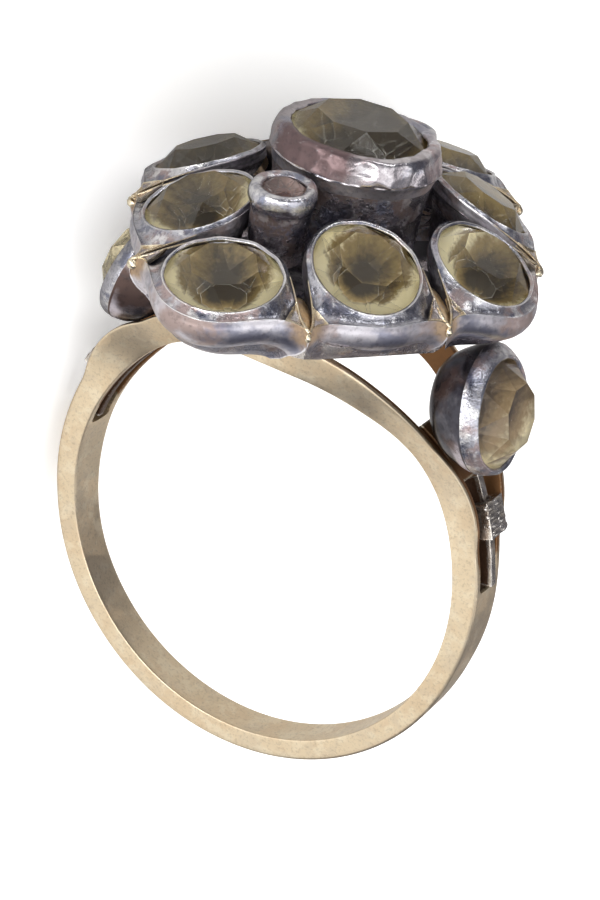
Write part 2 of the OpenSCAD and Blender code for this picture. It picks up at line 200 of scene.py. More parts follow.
def half_hoop(side):
    turns = set(np.arange(-270, 90, HOOP_STEP))
    for s in (0, *SPLIT_ROUND):
        turns |= {SPLIT_AT + s, -180 - SPLIT_AT - s}
    col = NEAR if side < 0 else FAR
    rings = []
    for a in sorted(turns):
        up = a if a > -90 else -180 - a
        part = np.interp(up, [SPLIT_AT + s for s in (0, *SPLIT_ROUND)], [0, 0.75, 1])
        r_out = outside_radius(up)
        at_finger = rail_place(col, up)
        lean = (rail_place(col + 1, up) - at_finger) / RAIL_DEPTH
        sway = HOOP_SWAY * noise.noise(Vector((cos(radians(a)) * 2, sin(radians(a)) * 2, side)))
        outer = [at_finger + sway, at_finger + (r_out - FINGER_R) * lean + sway]
        inner = [(y - RAIL_T) * part for y in outer]
        ring = rounded_section(
            [(FINGER_R, side * inner[0]), (r_out, side * inner[1]),
             (r_out, side * outer[1]), (FINGER_R, side * outer[0])],
            [*[r * part for r in SPLIT_EDGES], *OUTER_EDGES],
        )
        rings.append([around(a, r, y) for r, y in ring])
    points, faces = skin(rings, closed=True)
    return points, [f for f in faces if max(abs(points[i][1]) for i in f) > 1e-6]


near_points, near_faces = half_hoop(-1)
far_points, far_faces = half_hoop(1)
near_count = len(near_points)
hoop = solid("hoop", near_points + far_points,
             near_faces + [tuple(i + near_count for i in f) for f in far_faces])

PLATE_FROM, PLATE_TO, PLATE_LOW, PLATE_HIGH, PLATE_EDGE = 38, 54, 0.5, 1.12, 0.1


def seat_plate(mirror):
    rings = []
    low, high = FINGER_R + PLATE_LOW, FINGER_R + PLATE_HIGH
    for a in np.arange(PLATE_FROM, PLATE_TO + 0.1, 1):
        near, far = -rail_place(NEAR, a) + RAIL_T / 2, rail_place(FAR, a) - RAIL_T / 2
        ring = rounded_section([(low, near), (high, near), (high, far), (low, far)], [PLATE_EDGE] * 4)
        rings.append([around(a, r, y, mirror) for r, y in ring])
    return solid("seat_plate", *skin(rings))


shank = combine("shank_gold", hoop, [seat_plate(1), seat_plate(-1)])


def feed(tree, socket, value):
    if isinstance(value, bpy.types.NodeSocket):
        tree.links.new(value, socket)
    elif socket.type == "RGBA":
        socket.default_value = (*value, 1)
    else:
        socket.default_value = value


def maths(tree, how, *values):
    made = tree.nodes.new("ShaderNodeMath")
    made.operation = how
    for socket, value in zip(made.inputs, values):
        feed(tree, socket, value)
    return made.outputs[0]


def ramp(tree, value, low, high, out_low=0.0, out_high=1.0):
    made = tree.nodes.new("ShaderNodeMapRange")
    made.interpolation_type = "SMOOTHSTEP"
    for socket, v in zip(made.inputs, (value, low, high, out_low, out_high)):
        feed(tree, socket, v)
    return made.outputs["Result"]


def blend(tree, amount, a, b):
    made = tree.nodes.new("ShaderNodeMix")
    made.data_type = "RGBA"
    colours = [s for s in made.inputs if s.type == "RGBA"]
    feed(tree, made.inputs["Factor"], amount)
    feed(tree, colours[0], a)
    feed(tree, colours[1], b)
    return next(s for s in made.outputs if s.type == "RGBA")


def cloud(tree, where, scale, detail):
    made = tree.nodes.new("ShaderNodeTexNoise")
    feed(tree, made.inputs["Vector"], where)
    feed(tree, made.inputs["Scale"], scale)
    made.inputs["Detail"].default_value = detail
    made.inputs["Roughness"].default_value = 0.62
    return made.outputs["Fac"]


def shifted(tree, value, grain, amount):
    """A value moved up and down by a noise that lies round a half."""
    return maths(tree, "MULTIPLY_ADD", maths(tree, "SUBTRACT", grain, 0.5), amount, value)


def plain_material(name):
    mat = bpy.data.materials.new(name)
    mat.use_nodes = True
    return mat, mat.node_tree, mat.node_tree.nodes["Principled BSDF"]


def bumped(tree, shader, height, depth):
    bump = tree.nodes.new("ShaderNodeBump")
    bump.inputs["Distance"].default_value = depth
    feed(tree, bump.inputs["Height"], height)
    feed(tree, shader.inputs["Normal"], bump.outputs["Normal"])


def object_place(tree):
    return tree.nodes.new("ShaderNodeTexCoord").outputs["Object"]


def add_inputs(tree, kind, sockets):
    for name, value in sockets.items():
        tree.interface.new_socket(name, in_out="INPUT", socket_type=kind).default_value = value


def worn_metal():
    """Shader group: polished on its edges, filmed on its faces, black in its hollows, and given a third
    colour by a mask that holds films and also painted shade and painted highlights.
    """
    tree = bpy.data.node_groups.new("worn_metal", "ShaderNodeTree")
    colours = ["Bright", "Dull", "Warm film", "Cold film", "Black", "Near joint"]
    amounts = {"Blotch size": 700.0, "Film amount": 0.5, "Shine amount": 0.6,
               "Tarnish reach": 0.5, "Pits": 0.5, "Smooth": 0.25, "Rough": 0.5, "Rub": 1.0}
    for name in colours:
        tree.interface.new_socket(name, in_out="INPUT", socket_type="NodeSocketColor")
    add_inputs(tree, "NodeSocketFloat", amounts)
    tree.interface.new_socket("Color", in_out="OUTPUT", socket_type="NodeSocketColor")
    for name in ("Roughness", "Metal", "Height"):
        tree.interface.new_socket(name, in_out="OUTPUT", socket_type="NodeSocketFloat")
    given = tree.nodes.new("NodeGroupInput").outputs
    made = tree.nodes.new("NodeGroupOutput").inputs
    where = object_place(tree)
    age_and_light, split = tree.nodes.new("ShaderNodeAttribute"), tree.nodes.new("ShaderNodeSeparateColor")
    age_and_light.attribute_name = "age_and_light"
    tree.links.new(age_and_light.outputs["Color"], split.inputs["Color"])
    hollow, edge, film_and_light = (split.outputs[name] for name in ("Red", "Green", "Blue"))

    size = given["Blotch size"]
    blotch = cloud(tree, where, size, 5)
    grain = cloud(tree, where, maths(tree, "MULTIPLY", size, 6.0), 6)
    patch = cloud(tree, where, maths(tree, "MULTIPLY", size, 0.42), 4)
    other = cloud(tree, where, maths(tree, "MULTIPLY", size, 0.61), 4)
    specks = ramp(tree, cloud(tree, where, maths(tree, "MULTIPLY", size, 3.1), 2), 0.64, 0.72)
    specks = maths(tree, "MULTIPLY", specks, given["Pits"])

    dirt = shifted(tree, shifted(tree, hollow, blotch, 0.7), grain, 0.35)
    start = maths(tree, "SUBTRACT", 1.0, given["Tarnish reach"])
    black = ramp(tree, dirt, start, maths(tree, "ADD", start, 0.32))
    black = maths(tree, "MAXIMUM", black, specks)
    rub = ramp(tree, shifted(tree, edge, grain, 0.5), 0.2, 0.6)
    rub = maths(tree, "MULTIPLY", rub, given["Rub"])
    warm = maths(tree, "MULTIPLY", ramp(tree, patch, 0.48, 0.59), given["Film amount"])
    cold = maths(tree, "MULTIPLY", ramp(tree, other, 0.51, 0.62), given["Film amount"])
    shine = maths(tree, "MULTIPLY", ramp(tree, blotch, 0.5, 0.62), given["Shine amount"])
    # the third mask and its colour: films round the head's tips, and painted shade and a painted highlight
    # on other pieces
    film_and_light = ramp(tree, shifted(tree, film_and_light, blotch, 1.3), 0.25, 0.7)
    black = maths(tree, "MULTIPLY", black, maths(tree, "SUBTRACT", 1.0, film_and_light))
    mottle = maths(tree, "MULTIPLY", given["Film amount"], 0.4)
    mottle = maths(tree, "MULTIPLY", ramp(tree, grain, 0.5, 0.66), mottle)

    colour = blend(tree, warm, given["Dull"], given["Warm film"])
    colour = blend(tree, cold, colour, given["Cold film"])
    colour = blend(tree, shine, colour, given["Bright"])
    colour = blend(tree, film_and_light, colour, given["Near joint"])
    colour = blend(tree, mottle, colour, given["Black"])
    colour = blend(tree, black, colour, given["Black"])
    colour = blend(tree, rub, colour, given["Bright"])
    feed(tree, made["Color"], colour)
    bare = maths(tree, "SUBTRACT", 1.0, rub)
    filmed = maths(tree, "MULTIPLY", maths(tree, "MAXIMUM", warm, film_and_light), 0.6)
    grime = maths(tree, "MULTIPLY", maths(tree, "MAXIMUM", black, filmed), bare)
    feed(tree, made["Roughness"], ramp(tree, grime, 0.0, 1.0, given["Smooth"], given["Rough"]))
    feed(tree, made["Metal"], maths(tree, "SUBTRACT", 1.0, maths(tree, "MULTIPLY", grime, 0.5)))
    pitted = maths(tree, "SUBTRACT", grain, specks)
    feed(tree, made["Height"], maths(tree, "MULTIPLY_ADD", blotch, 1.5, pitted))
    return tree


WORN = worn_metal()


def metal(name, depth, **values):
    """One metal: the depth of its relief in metres, then the group's inputs by name."""
    mat, tree, shader = plain_material(name)
    worn = tree.nodes.new("ShaderNodeGroup")
    worn.node_tree = WORN
    for key, value in values.items():
        feed(tree, worn.inputs[key.replace("_", " ")], value)
    for name_in, name_out in (("Base Color", "Color"), ("Roughness", "Roughness"), ("Metallic", "Metal")):
        feed(tree, shader.inputs[name_in], worn.outputs[name_out])
    bumped(tree, shader, worn.outputs["Height"], depth)
    return mat


def settle(obj, node, slot_name, *materials, sharp=35):
    if materials:
        obj.data.materials.clear()
        for m in materials:
            obj.data.materials.append(m)
    obj.data.shade_smooth()
    obj.data.set_sharp_from_angle(angle=radians(sharp))
    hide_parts(node)
    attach(obj, "root")


# its third-mask colour, dark brown, is painted shade over tarnish on the rails' inner faces and the seat
# plates inside the shoulders
hoop_gold = metal(
    "hoop_gold", 0.000006, Bright=(0.95, 0.85, 0.65), Dull=(0.82, 0.68, 0.48),
    Warm_film=(0.70, 0.53, 0.34), Cold_film=(0.70, 0.59, 0.44), Black=(0.09, 0.055, 0.03),
    Near_joint=(0.20, 0.095, 0.035), Blotch_size=1400.0, Film_amount=0.45, Shine_amount=0.4,
    Tarnish_reach=0.42, Pits=0.12, Smooth=0.34, Rough=0.5,
)
settle(shank, "shank", "gold", hoop_gold)

# Strips and collars in the shoulders
# A silver strip stands midway between the two rails of each shoulder. A small block
# soldered across it, filed into rows of rounded bumps, makes a collar below the collet.
# width, height above the finger, and the angles up the hoop that it runs between
STRIP_W, STRIP_T, STRIP_FROM, STRIP_TO = 0.4, 1.3, 12.34, 37.7
# the collar's angle, height and width, and how deep it bites over the strip
COLLAR_AT, COLLAR_T, COLLAR_W, COLLAR_BITE = 28, 1.78, 1.32, 0.5
RIB_W, RIB_ROWS, RIB_BUMPS, RIB_UNEVEN, RIB_SEED = 0.46, 4, 2, 0.03, 4
COLLAR_LONG = RIB_W * 3
STRIP_STEP, STRIP_EDGE = 0.7, 0.05


def bumps_tree():
    """Geometry Nodes: rows of rounded bumps on a flat, set close together."""
    tree = bpy.data.node_groups.new("collar_bumps", "GeometryNodeTree")
    add_inputs(tree, "NodeSocketInt", {"Rows": RIB_ROWS, "Bumps": RIB_BUMPS, "Seed": RIB_SEED})
    add_inputs(tree, "NodeSocketFloat", {"Pitch": 0.34, "Width": 1.2, "Uneven": RIB_UNEVEN})
    tree.interface.new_socket("Metal", in_out="INPUT", socket_type="NodeSocketMaterial")
    tree.interface.new_socket("Bumps", in_out="OUTPUT", socket_type="NodeSocketGeometry")
    new, link = tree.nodes.new, tree.links.new
    given = new("NodeGroupInput").outputs
    pitch, apart = given["Pitch"], maths(tree, "DIVIDE", given["Width"], given["Bumps"])
    field, bump = new("GeometryNodeMeshGrid"), new("GeometryNodeMeshUVSphere")
    for axis, count, step in (("X", given["Rows"], pitch), ("Y", given["Bumps"], apart)):
        feed(tree, field.inputs["Vertices " + axis], count)
        steps = maths(tree, "SUBTRACT", count, 1)
        feed(tree, field.inputs["Size " + axis], maths(tree, "MULTIPLY", step, steps))
    bump.inputs["Segments"].default_value = 20
    bump.inputs["Rings"].default_value = 14
    bump.inputs["Radius"].default_value = 0.5
    shape, less, more = (new("ShaderNodeCombineXYZ") for _ in range(3))
    for axis, step, overlap in (("X", pitch, 1.1), ("Y", apart, 1.3), ("Z", pitch, 0.9)):
        feed(tree, shape.inputs[axis], maths(tree, "MULTIPLY", step, overlap))
    vary, place = new("FunctionNodeRandomValue"), new("GeometryNodeInstanceOnPoints")
    vary.data_type = "FLOAT_VECTOR"
    for corner, sign in ((less, -1.0), (more, 1.0)):
        for axis in "XYZ":
            feed(tree, corner.inputs[axis], maths(tree, "MULTIPLY", given["Uneven"], sign))
    link(less.outputs[0], vary.inputs["Min"])
    link(more.outputs[0], vary.inputs["Max"])
    link(given["Seed"], vary.inputs["Seed"])
    total = new("ShaderNodeVectorMath")
    link(shape.outputs[0], total.inputs[0])
    link(vary.outputs["Value"], total.inputs[1])
    real, dress = new("GeometryNodeRealizeInstances"), new("GeometryNodeSetMaterial")
    link(field.outputs["Mesh"], place.inputs["Points"])
    link(bump.outputs["Mesh"], place.inputs["Instance"])
    link(total.outputs[0], place.inputs["Scale"])
    link(place.outputs["Instances"], real.inputs["Geometry"])
    link(real.outputs["Geometry"], dress.inputs["Geometry"])
    link(given["Metal"], dress.inputs["Material"])
    link(dress.outputs["Geometry"], new("NodeGroupOutput").inputs[0])
    return tree


# its third-mask colour, near black, is painted shade over the strip and the collar's foot, deep between the
# rails
strip_silver = metal(
    "strip_silver", 0.000012, Bright=(0.86, 0.81, 0.75), Dull=(0.52, 0.48, 0.43),
    Warm_film=(0.30, 0.22, 0.15), Cold_film=(0.24, 0.23, 0.26), Black=(0.05, 0.032, 0.022),
    Near_joint=(0.075, 0.038, 0.02), Blotch_size=1500.0, Film_amount=0.5, Shine_amount=0.7,
    Tarnish_reach=0.34, Smooth=0.26, Rough=0.5,
)
BUMPS = bumps_tree()


def bar_on_arc(name, a0, a1, r0, r1, width, mirror):
    rings = []
    for a in np.linspace(a0, a1, max(4, int((a1 - a0) / STRIP_STEP))):
        y0, y1 = between(a) - width / 2, between(a) + width / 2
        ring = rounded_section([(r0, y0), (r1, y0), (r1, y1), (r0, y1)], [STRIP_EDGE] * 4)
        rings.append([around(a, r, y, mirror) for r, y in ring])
    return solid(name, *skin(rings))


def collar_bumps(mirror, rib_r):
    obj = put_in_scene("bumps", bpy.data.meshes.new("bumps"))
    mod = obj.modifiers.new("bumps", "NODES")
    mod.node_group = BUMPS
    values = {"Rows": RIB_ROWS, "Bumps": RIB_BUMPS, "Pitch": COLLAR_LONG / RIB_ROWS,
              "Width": COLLAR_W * 0.92, "Uneven": RIB_UNEVEN, "Seed": RIB_SEED, "Metal": strip_silver}
    for item in BUMPS.interface.items_tree:
        if item.in_out == "INPUT":
            mod[item.identifier] = values[item.name]
    mesh = finished_mesh(obj)
    bpy.data.objects.remove(obj)
    lean = Matrix.Rotation(radians(90 - COLLAR_AT), 4, "Y")
    flip = Matrix.Diagonal((mirror, 1, 1, 1))
    mesh.transform(LAID @ flip @ lean @ Matrix.Translation((0, between(COLLAR_AT), rib_r)))
    mesh.materials.clear()
    if mirror < 0:
        mesh.flip_normals()
    return put_in_scene("bumps", mesh)


for word, mirror in (("left", -1), ("right", 1)):
    half = degrees(COLLAR_LONG / 2 / (FINGER_R + COLLAR_T))
    rib_r = FINGER_R + COLLAR_T - RIB_W / 2
    low, high = FINGER_R + STRIP_T - COLLAR_BITE, rib_r + 0.09
    foot, top = FINGER_R + 0.03, FINGER_R + STRIP_T
    strip = bar_on_arc("strip", STRIP_FROM, STRIP_TO, foot, top, STRIP_W, mirror)
    block = bar_on_arc("block", COLLAR_AT - half, COLLAR_AT + half, low, high, COLLAR_W, mirror)
    strip = combine(f"strip_{word}", strip, [block, collar_bumps(mirror, rib_r)])
    settle(strip, f"shoulder_strip_{word}", "shoulder_silver", strip_silver)

# Shoulder collets
# Round silver cups, smooth and black outside, with a broad bright rim pressed over the
# stone. Each sits on its gold plate between the rails, hollowed to the hoop's curve.
# place of the opening's middle, degrees that it faces up, and how much nearer the left one is
SIDE_X, SIDE_Z, SIDE_UP, SIDE_INWARD = 8.3, 9.05, 15, 0.42
# radius of the opening and of the cup, its depth, and how its foot stands off and leans
SIDE_OPEN, SIDE_CUP, SIDE_DEEP, SIDE_OFF, SIDE_LEAN = 2.1, 2.5, 2.4, 0.12, 0.2
UNDERCUT = 0.14
RIM_DIMPLE, BAND_DIMPLE = 0.75, 0.5
SEAT_DEPTH = 1.6
SHOULDERS = (("left", -1, SIDE_INWARD), ("right", 1, 0))
RIM, WALL, DEEP = 0, 1, 2

rim_silver = metal(
    "rim_silver", 0.00002, Bright=(0.97, 0.96, 0.96), Dull=(0.52, 0.52, 0.57),
    Warm_film=(0.42, 0.31, 0.29), Cold_film=(0.20, 0.215, 0.29), Black=(0.05, 0.046, 0.058),
    Near_joint=(0.78, 0.60, 0.34), Blotch_size=1500.0, Film_amount=0.85, Shine_amount=0.7,
    Tarnish_reach=0.46, Pits=0.2, Smooth=0.15, Rough=0.36,
)
# its third-mask colour, a pale lilac, is a painted highlight: a band on one side of each shoulder collet's
# bowl, below the rim
bowl_silver = metal(
    "bowl_silver", 0.000004, Bright=(0.50, 0.49, 0.53), Dull=(0.075, 0.073, 0.088),
    Warm_film=(0.13, 0.08, 0.066), Cold_film=(0.05, 0.072, 0.09), Black=(0.025, 0.02, 0.022),
    Near_joint=(0.60, 0.55, 0.60), Blotch_size=560.0, Film_amount=0.85, Shine_amount=0.15,
    Tarnish_reach=0.4, Pits=0.3, Smooth=0.22, Rough=0.4,
)
deep_silver = metal(
    "deep_silver", 0.00003, Bright=(0.74, 0.72, 0.76), Dull=(0.32, 0.30, 0.34),
    Warm_film=(0.19, 0.12, 0.09), Cold_film=(0.22, 0.24, 0.33), Black=(0.085, 0.072, 0.08),
    Near_joint=(0.66, 0.44, 0.19), Blotch_size=1500.0, Film_amount=0.7, Shine_amount=0.4,
    Tarnish_reach=0.24, Pits=0.4, Smooth=0.24, Rough=0.55,
)


def facing(inward, mirror):
    turned = Matrix.Translation((SIDE_X - inward, 0, SIDE_Z))
    turned = turned @ Matrix.Rotation(radians(90 - SIDE_UP), 4, "Y")
    return LAID @ (Matrix.Diagonal((mirror, 1, 1, 1)) @ turned)


def curve(kind, points, steps):
    """A smooth outline through points of radius and height, marked with its kind of surface."""
    pts = np.array([points[0], *points, points[-1]], float)
    out = []
    for k in range(1, len(pts) - 2):
        a, b, c, d = pts[k - 1:k + 3]
        for i in range(steps):
            t = i / steps
            q = 2 * b + (c - a) * t + (2 * a - 5 * b + 4 * c - d) * t ** 2 + (3 * b - a - 3 * c + d) * t ** 3
            out.append((*(q / 2), kind))
    return [*out, (*pts[-1], kind)]


def line(kind, points):
    return [(r, z, kind) for r, z in points]


def dimples(q, size):
    """Hammer marks: 0 in the middle of each, 1 on the ridges between them."""
    return min(1.0, 1.8 * noise.voronoi(q / size)[0][0] ** 2)


def turned_cup(name, outline, place, slots, hammer, sway, seed, n=112, shift=None, lump=None):
    """A cup turned from an outline, then beaten: dimpled on its rim and a little out of round."""
    rings, kinds = [], []
    for k, (r, z, kind) in enumerate(outline):
        ring = []
        for i in range(n):
            t = 2 * pi * i / n
            q = Vector((r * cos(t), r * sin(t), z + seed))
            rr = r + sway * noise.noise(q * 0.7) * min(1, r)
            zz = z + 0.6 * sway * noise.noise(q * 0.8 + Vector((5, 0, 0))) * (kind == RIM)
            if kind == RIM:
                rr -= hammer * (1 - dimples(q, RIM_DIMPLE))
            if lump:
                rr += lump(degrees(t), z)
            across = shift(z) if shift else 0
            ring.append((rr * cos(t) + across, rr * sin(t), zz))
        rings.append(ring)
        if k:
            kinds += [kind] * n
    return solid(name, *skin(rings), place=place, kinds=[*kinds, DEEP, DEEP], slots=slots)


def hoop_blank():
    """The hoop's outside as a full drum, cut out of each collet's foot."""
    n = 240
    turns = [360 * i / n for i in range(n)]
    rim = [(outside_radius(a if a < 270 else a - 360) + 0.03, a) for a in turns]
    return solid("hoop_blank", *skin([[around(a, r, y) for r, a in rim] for y in (-6, 6)]),
                 slots=SIDE_SLOTS, kinds=[DEEP] * (n + 2))


SIDE_SLOTS = (rim_silver, bowl_silver, deep_silver)
for word, mirror, inward in SHOULDERS:
    R, D, o = SIDE_CUP, SIDE_DEEP, SIDE_OPEN
    outline = [
        *line(WALL, [(0.03, -D)]),
        *curve(WALL, [(R * 0.38, -D), (R * 0.62, -D * 0.92), (R * 0.82, -D * 0.7),
                      (R * 0.955, -D * 0.4), (R, -0.52)], 6),
        *curve(RIM, [(R * 1.0, -0.46), (R * 0.995, -0.36), (R * 0.975, -0.2)], 3),
        *curve(RIM, [(R * 0.965, -0.16), (R * 0.93, -0.02), (R * 0.895, 0.07), (R * 0.875, 0.09)], 3),
        *curve(RIM, [(o + 0.04, 0.075), (o - 0.02, 0.02), (o - 0.03, -0.04)], 3),
        *line(DEEP, [(o + UNDERCUT, -0.18), (o + UNDERCUT, -0.5), (o * 0.8, -0.85),
                     (o * 0.5, -SEAT_DEPTH), (0.03, -SEAT_DEPTH)]),
    ]
    cup = turned_cup("cup", outline, facing(inward, mirror), SIDE_SLOTS, 0.03, 0.05, 3.0 + mirror,
                     shift=lambda z: -SIDE_OFF * min(1, max(0, -z / 0.4)) - SIDE_LEAN * (z / D) ** 2)
    cup = combine(f"collet_{word}", cup, [hoop_blank()], "DIFFERENCE")
    settle(cup, f"shoulder_collet_{word}", "shoulder_silver")

# The silver head
# Eight petal cups of beaten silver, a tall centre collet with a satin rim and two small
# ones, all soldered on one closed back. The rims are filed bright, the hollows black and
# the valleys between the petals browned by solder.
# how far the head sits off the middle, and the bezels' width in front and at the flanks
HEAD_SHIFT, BEZEL_FRONT, BEZEL_FLANK = 0.26, 0.46, 0.21
CREST_OUT, CREST_UP = 0.07, 0.03
BAND_SAG, BAND_DENT, BURR, BURR_AT, BURR_W = 0.1, 0.06, 0.045, 0.97, 0.06
FOOT_Z, SPREAD = 3.1, 58
# across, along, height, direction faced, tilt, half length outward, half width
PETAL_KINDS = [
    (0.00, 8.66, 5.64, 90, 16, 2.04, 2.08),
    (3.50, 4.76, 6.10, 45, 25, 2.08, 1.98),
    (5.98, 0.00, 5.80, 0, 25, 1.96, 2.30),
]
# kind of petal and the signs that mirror it into its place, anticlockwise from the far end
PETAL_PLACES = [
    (0, 1, 1), (1, -1, 1), (2, -1, 1), (1, -1, -1), (0, 1, -1), (1, 1, -1), (2, 1, 1), (1, 1, 1),
]
TIP_ENDS, TIP_SIDES = (3.62, 8.66, 4.85), (6.72, 3.90, 4.80)
TIP_PLACES = [
    (TIP_ENDS, -1, 1), (TIP_SIDES, -1, 1), (TIP_SIDES, -1, -1), (TIP_ENDS, -1, -1),
    (TIP_ENDS, 1, -1), (TIP_SIDES, 1, -1), (TIP_SIDES, 1, 1), (TIP_ENDS, 1, 1),
]
TIPS = [Vector((HEAD_SHIFT + sx * x, sy * y, FINGER_R + z)) for (x, y, z), sx, sy in TIP_PLACES]
CORNER_STEP = 11.25

wall_silver = metal(
    "wall_silver", 0.000008, Bright=(0.88, 0.86, 0.90), Dull=(0.66, 0.63, 0.67),
    Warm_film=(0.33, 0.22, 0.18), Cold_film=(0.26, 0.27, 0.36), Black=(0.06, 0.055, 0.065),
    Near_joint=(0.42, 0.30, 0.20), Blotch_size=800.0, Film_amount=0.75, Shine_amount=0.4,
    Tarnish_reach=0.4, Pits=0.15, Smooth=0.34, Rough=0.5,
)
satin_silver = metal(
    "satin_silver", 0.000014, Bright=(0.92, 0.90, 0.92), Dull=(0.50, 0.46, 0.48),
    Warm_film=(0.42, 0.31, 0.31), Cold_film=(0.33, 0.34, 0.41), Black=(0.06, 0.052, 0.062),
    Near_joint=(0.165, 0.112, 0.114), Blotch_size=760.0, Film_amount=0.8, Shine_amount=0.6,
    Tarnish_reach=0.34, Pits=0.0, Smooth=0.2, Rough=0.4, Rub=0.4,
)
valley_silver = metal(
    "valley_silver", 0.00003, Bright=(0.92, 0.86, 0.80), Dull=(0.55, 0.50, 0.52),
    Warm_film=(0.42, 0.28, 0.18), Cold_film=(0.34, 0.36, 0.46), Black=(0.24, 0.19, 0.18),
    Near_joint=(0.86, 0.60, 0.28), Blotch_size=1500.0, Film_amount=0.8, Shine_amount=0.6,
    Tarnish_reach=0.2, Pits=0.4, Smooth=0.24, Rough=0.5,
)
SATIN, VALLEY = 3, 4
HEAD_SLOTS = (rim_silver, wall_silver, deep_silver, satin_silver, valley_silver)


class Petal:
    """One petal setting: where it sits, how it leans and the outlines of its bezel and wall."""

    def __init__(self, k):
        kind, sx, sy = PETAL_PLACES[k]
        across, along, up, faces, tilt, self.length, self.width = PETAL_KINDS[kind]
        turn, tilt = atan2(sy * sin(radians(faces)), sx * cos(radians(faces))), radians(tilt)
        self.centre = Vector((HEAD_SHIFT + sx * across, sy * along, FINGER_R + up))
        self.out = Vector((cos(tilt) * cos(turn), cos(tilt) * sin(turn), -sin(tilt)))
        self.side = Vector((-sin(turn), cos(turn), 0))
        self.up = self.out.cross(self.side)
        self.tips = [TIPS[k], TIPS[k - 1]]
        self.seed = Vector((k * 3.7, k * 1.9, 0))

    def at(self, u, v, w):
        return self.centre + u * self.out + v * self.side + w * self.up

    def corner(self, tip):
        d = tip - self.centre
        return CORNER_STEP * round(degrees(atan2(d.dot(self.side), d.dot(self.out))) / CORNER_STEP)

    def pull(self, t, tip, power=2.1):
        return max(0, 1 - abs((t - self.corner(tip) + 540) % 360 - 180) / SPREAD) ** power

    def edge(self, t):
        """The crisp outer edge of the bezel, drawn out to a tip at each outer corner."""
        c, s = cos(radians(t)), sin(radians(t))
        wide = BEZEL_FLANK + (BEZEL_FRONT - BEZEL_FLANK) * max(0, c)
        wide += 0.05 * noise.noise(self.seed + Vector((c * 2, s * 2, 0)))
        plain = self.at((self.length + wide) * c, (self.width + wide) * s, -0.12)
        pulls = [self.pull(t, tip) for tip in self.tips]
        return plain + pulls[0] * (self.tips[0] - plain) + pulls[1] * (self.tips[1] - plain)

    def rim(self, t, grow, w, rough=0.0, part=1.0):
        c, s = cos(radians(t)), sin(radians(t))
        wave = rough * noise.noise(self.seed + Vector((c * 3, s * 3, grow)))
        along, across = self.length * part + grow + wave, self.width * part + grow + wave
        return self.at(along * c, across * s, w + wave)

    def band(self, t, f):
        """A point of the hammered band between the stone, f = 0, and the outer edge, f = 1."""
        inner, outer = self.rim(t, CREST_OUT, CREST_UP, 0.03), self.edge(t)
        pull = max(self.pull(t, tip, 0.8) for tip in self.tips)
        q = inner.lerp(outer, f)
        sag = (BAND_SAG + BAND_SAG * pull) * sin(pi * min(1, f)) * (outer - inner).length
        dent = BAND_DENT * (1 - dimples(q + self.seed, BAND_DIMPLE)) * sin(pi * min(1, f)) ** 0.5
        burr = BURR * max(0, 1 - abs(f - BURR_AT) / BURR_W)
        return q - self.up * (sag + dent - burr)

    def wall(self, t, drop, inset):
        b, foot = self.edge(t), self.centre * 0.9
        return Vector((b.x + (foot.x - b.x) * inset, b.y + (foot.y - b.y) * inset, b.z - drop))


PETALS = [Petal(k) for k in range(8)]
AROUND = 176
TURNS = [360 * i / AROUND for i in range(AROUND)]
# a petal's outline from the stone's seat outward: growth, height and part of the opening
# in the seat; growth and height at the lip; parts of the way across the band; drop below
# the edge and part of the way in down the wall; and the same with the fall to the foot
PETAL_SEAT = [(0, -SEAT_DEPTH, 0.03), (0, -SEAT_DEPTH, 0.5), (0, -1.0, 0.82), (UNDERCUT, -0.5, 1.0),
              (UNDERCUT, -0.19, 1.0)]
LIP = [(0.01, -0.11), (-0.03, -0.07), (-0.035, -0.03), (-0.015, 0.005), (0.02, 0.025)]
BAND = (0.1, 0.22, 0.36, 0.5, 0.64, 0.78, 0.87, 0.92, 0.95, 0.975)
PETAL_WALL = [
    (0.04, -0.004), (0.1, -0.002), (0.22, -0.012), (0.36, -0.018), (0.52, -0.012),
    (0.7, 0.008), (0.86, 0.04), (1.02, 0.09), (1.2, 0.18),
]
PETAL_FOOT = [(0.26, 0.45), (0.38, 0.85), (0.6, 1)]


def petal_cup(p):
    rings = [(DEEP, [p.rim(t, grow, w, part=part) for t in TURNS]) for grow, w, part in PETAL_SEAT]
    rings += [(RIM, [p.rim(t, grow, w, 0.03) for t in TURNS]) for grow, w in LIP]
    rings += [(RIM, [p.band(t, f) for t in TURNS]) for f in (0, *BAND)]
    rings.append((RIM, [p.edge(t) for t in TURNS]))
    rings += [(WALL, [p.wall(t, drop, inset) for t in TURNS]) for drop, inset in PETAL_WALL]
    low_drop = PETAL_WALL[-1][0]
    for inset, f in PETAL_FOOT:
        ring = []
        for t in TURNS:
            q = p.wall(t, low_drop, inset)
            q.z += (FINGER_R + FOOT_Z - q.z) * f
            ring.append(q)
        rings.append((DEEP, ring))
    kinds = [kind for kind, _ in rings[1:] for _ in TURNS]
    kinds += [DEEP, DEEP]
    return solid("petal", *skin([ring for _, ring in rings]), kinds=kinds, slots=HEAD_SLOTS)


def oval(y, rx, ry, z, n=96):
    return [(rx * cos(2 * pi * i / n), y + ry * sin(2 * pi * i / n), z) for i in range(n)]


def in_silver(name, rings, kind):
    points, faces = skin(rings)
    return solid(name, points, faces, kinds=[kind] * len(faces), slots=HEAD_SLOTS)


seat_z = FINGER_R + HEAD_SEAT + 0.03
BACK_OVALS = [
    (0.8, 2.62, 4.42, seat_z), (0.8, 2.7, 4.5, seat_z + 0.08), (0.78, 2.75, 4.58, seat_z + 0.3),
    (0.4, 3.95, 6.44, FINGER_R + 2.43), (0, 5.1, 8.22, FINGER_R + 3.05),
    (0, 5.15, 8.3, FINGER_R + 3.2), (0, 5.15, 8.3, FINGER_R + 4.05),
]
back = in_silver("back", [oval(*row) for row in BACK_OVALS], WALL)
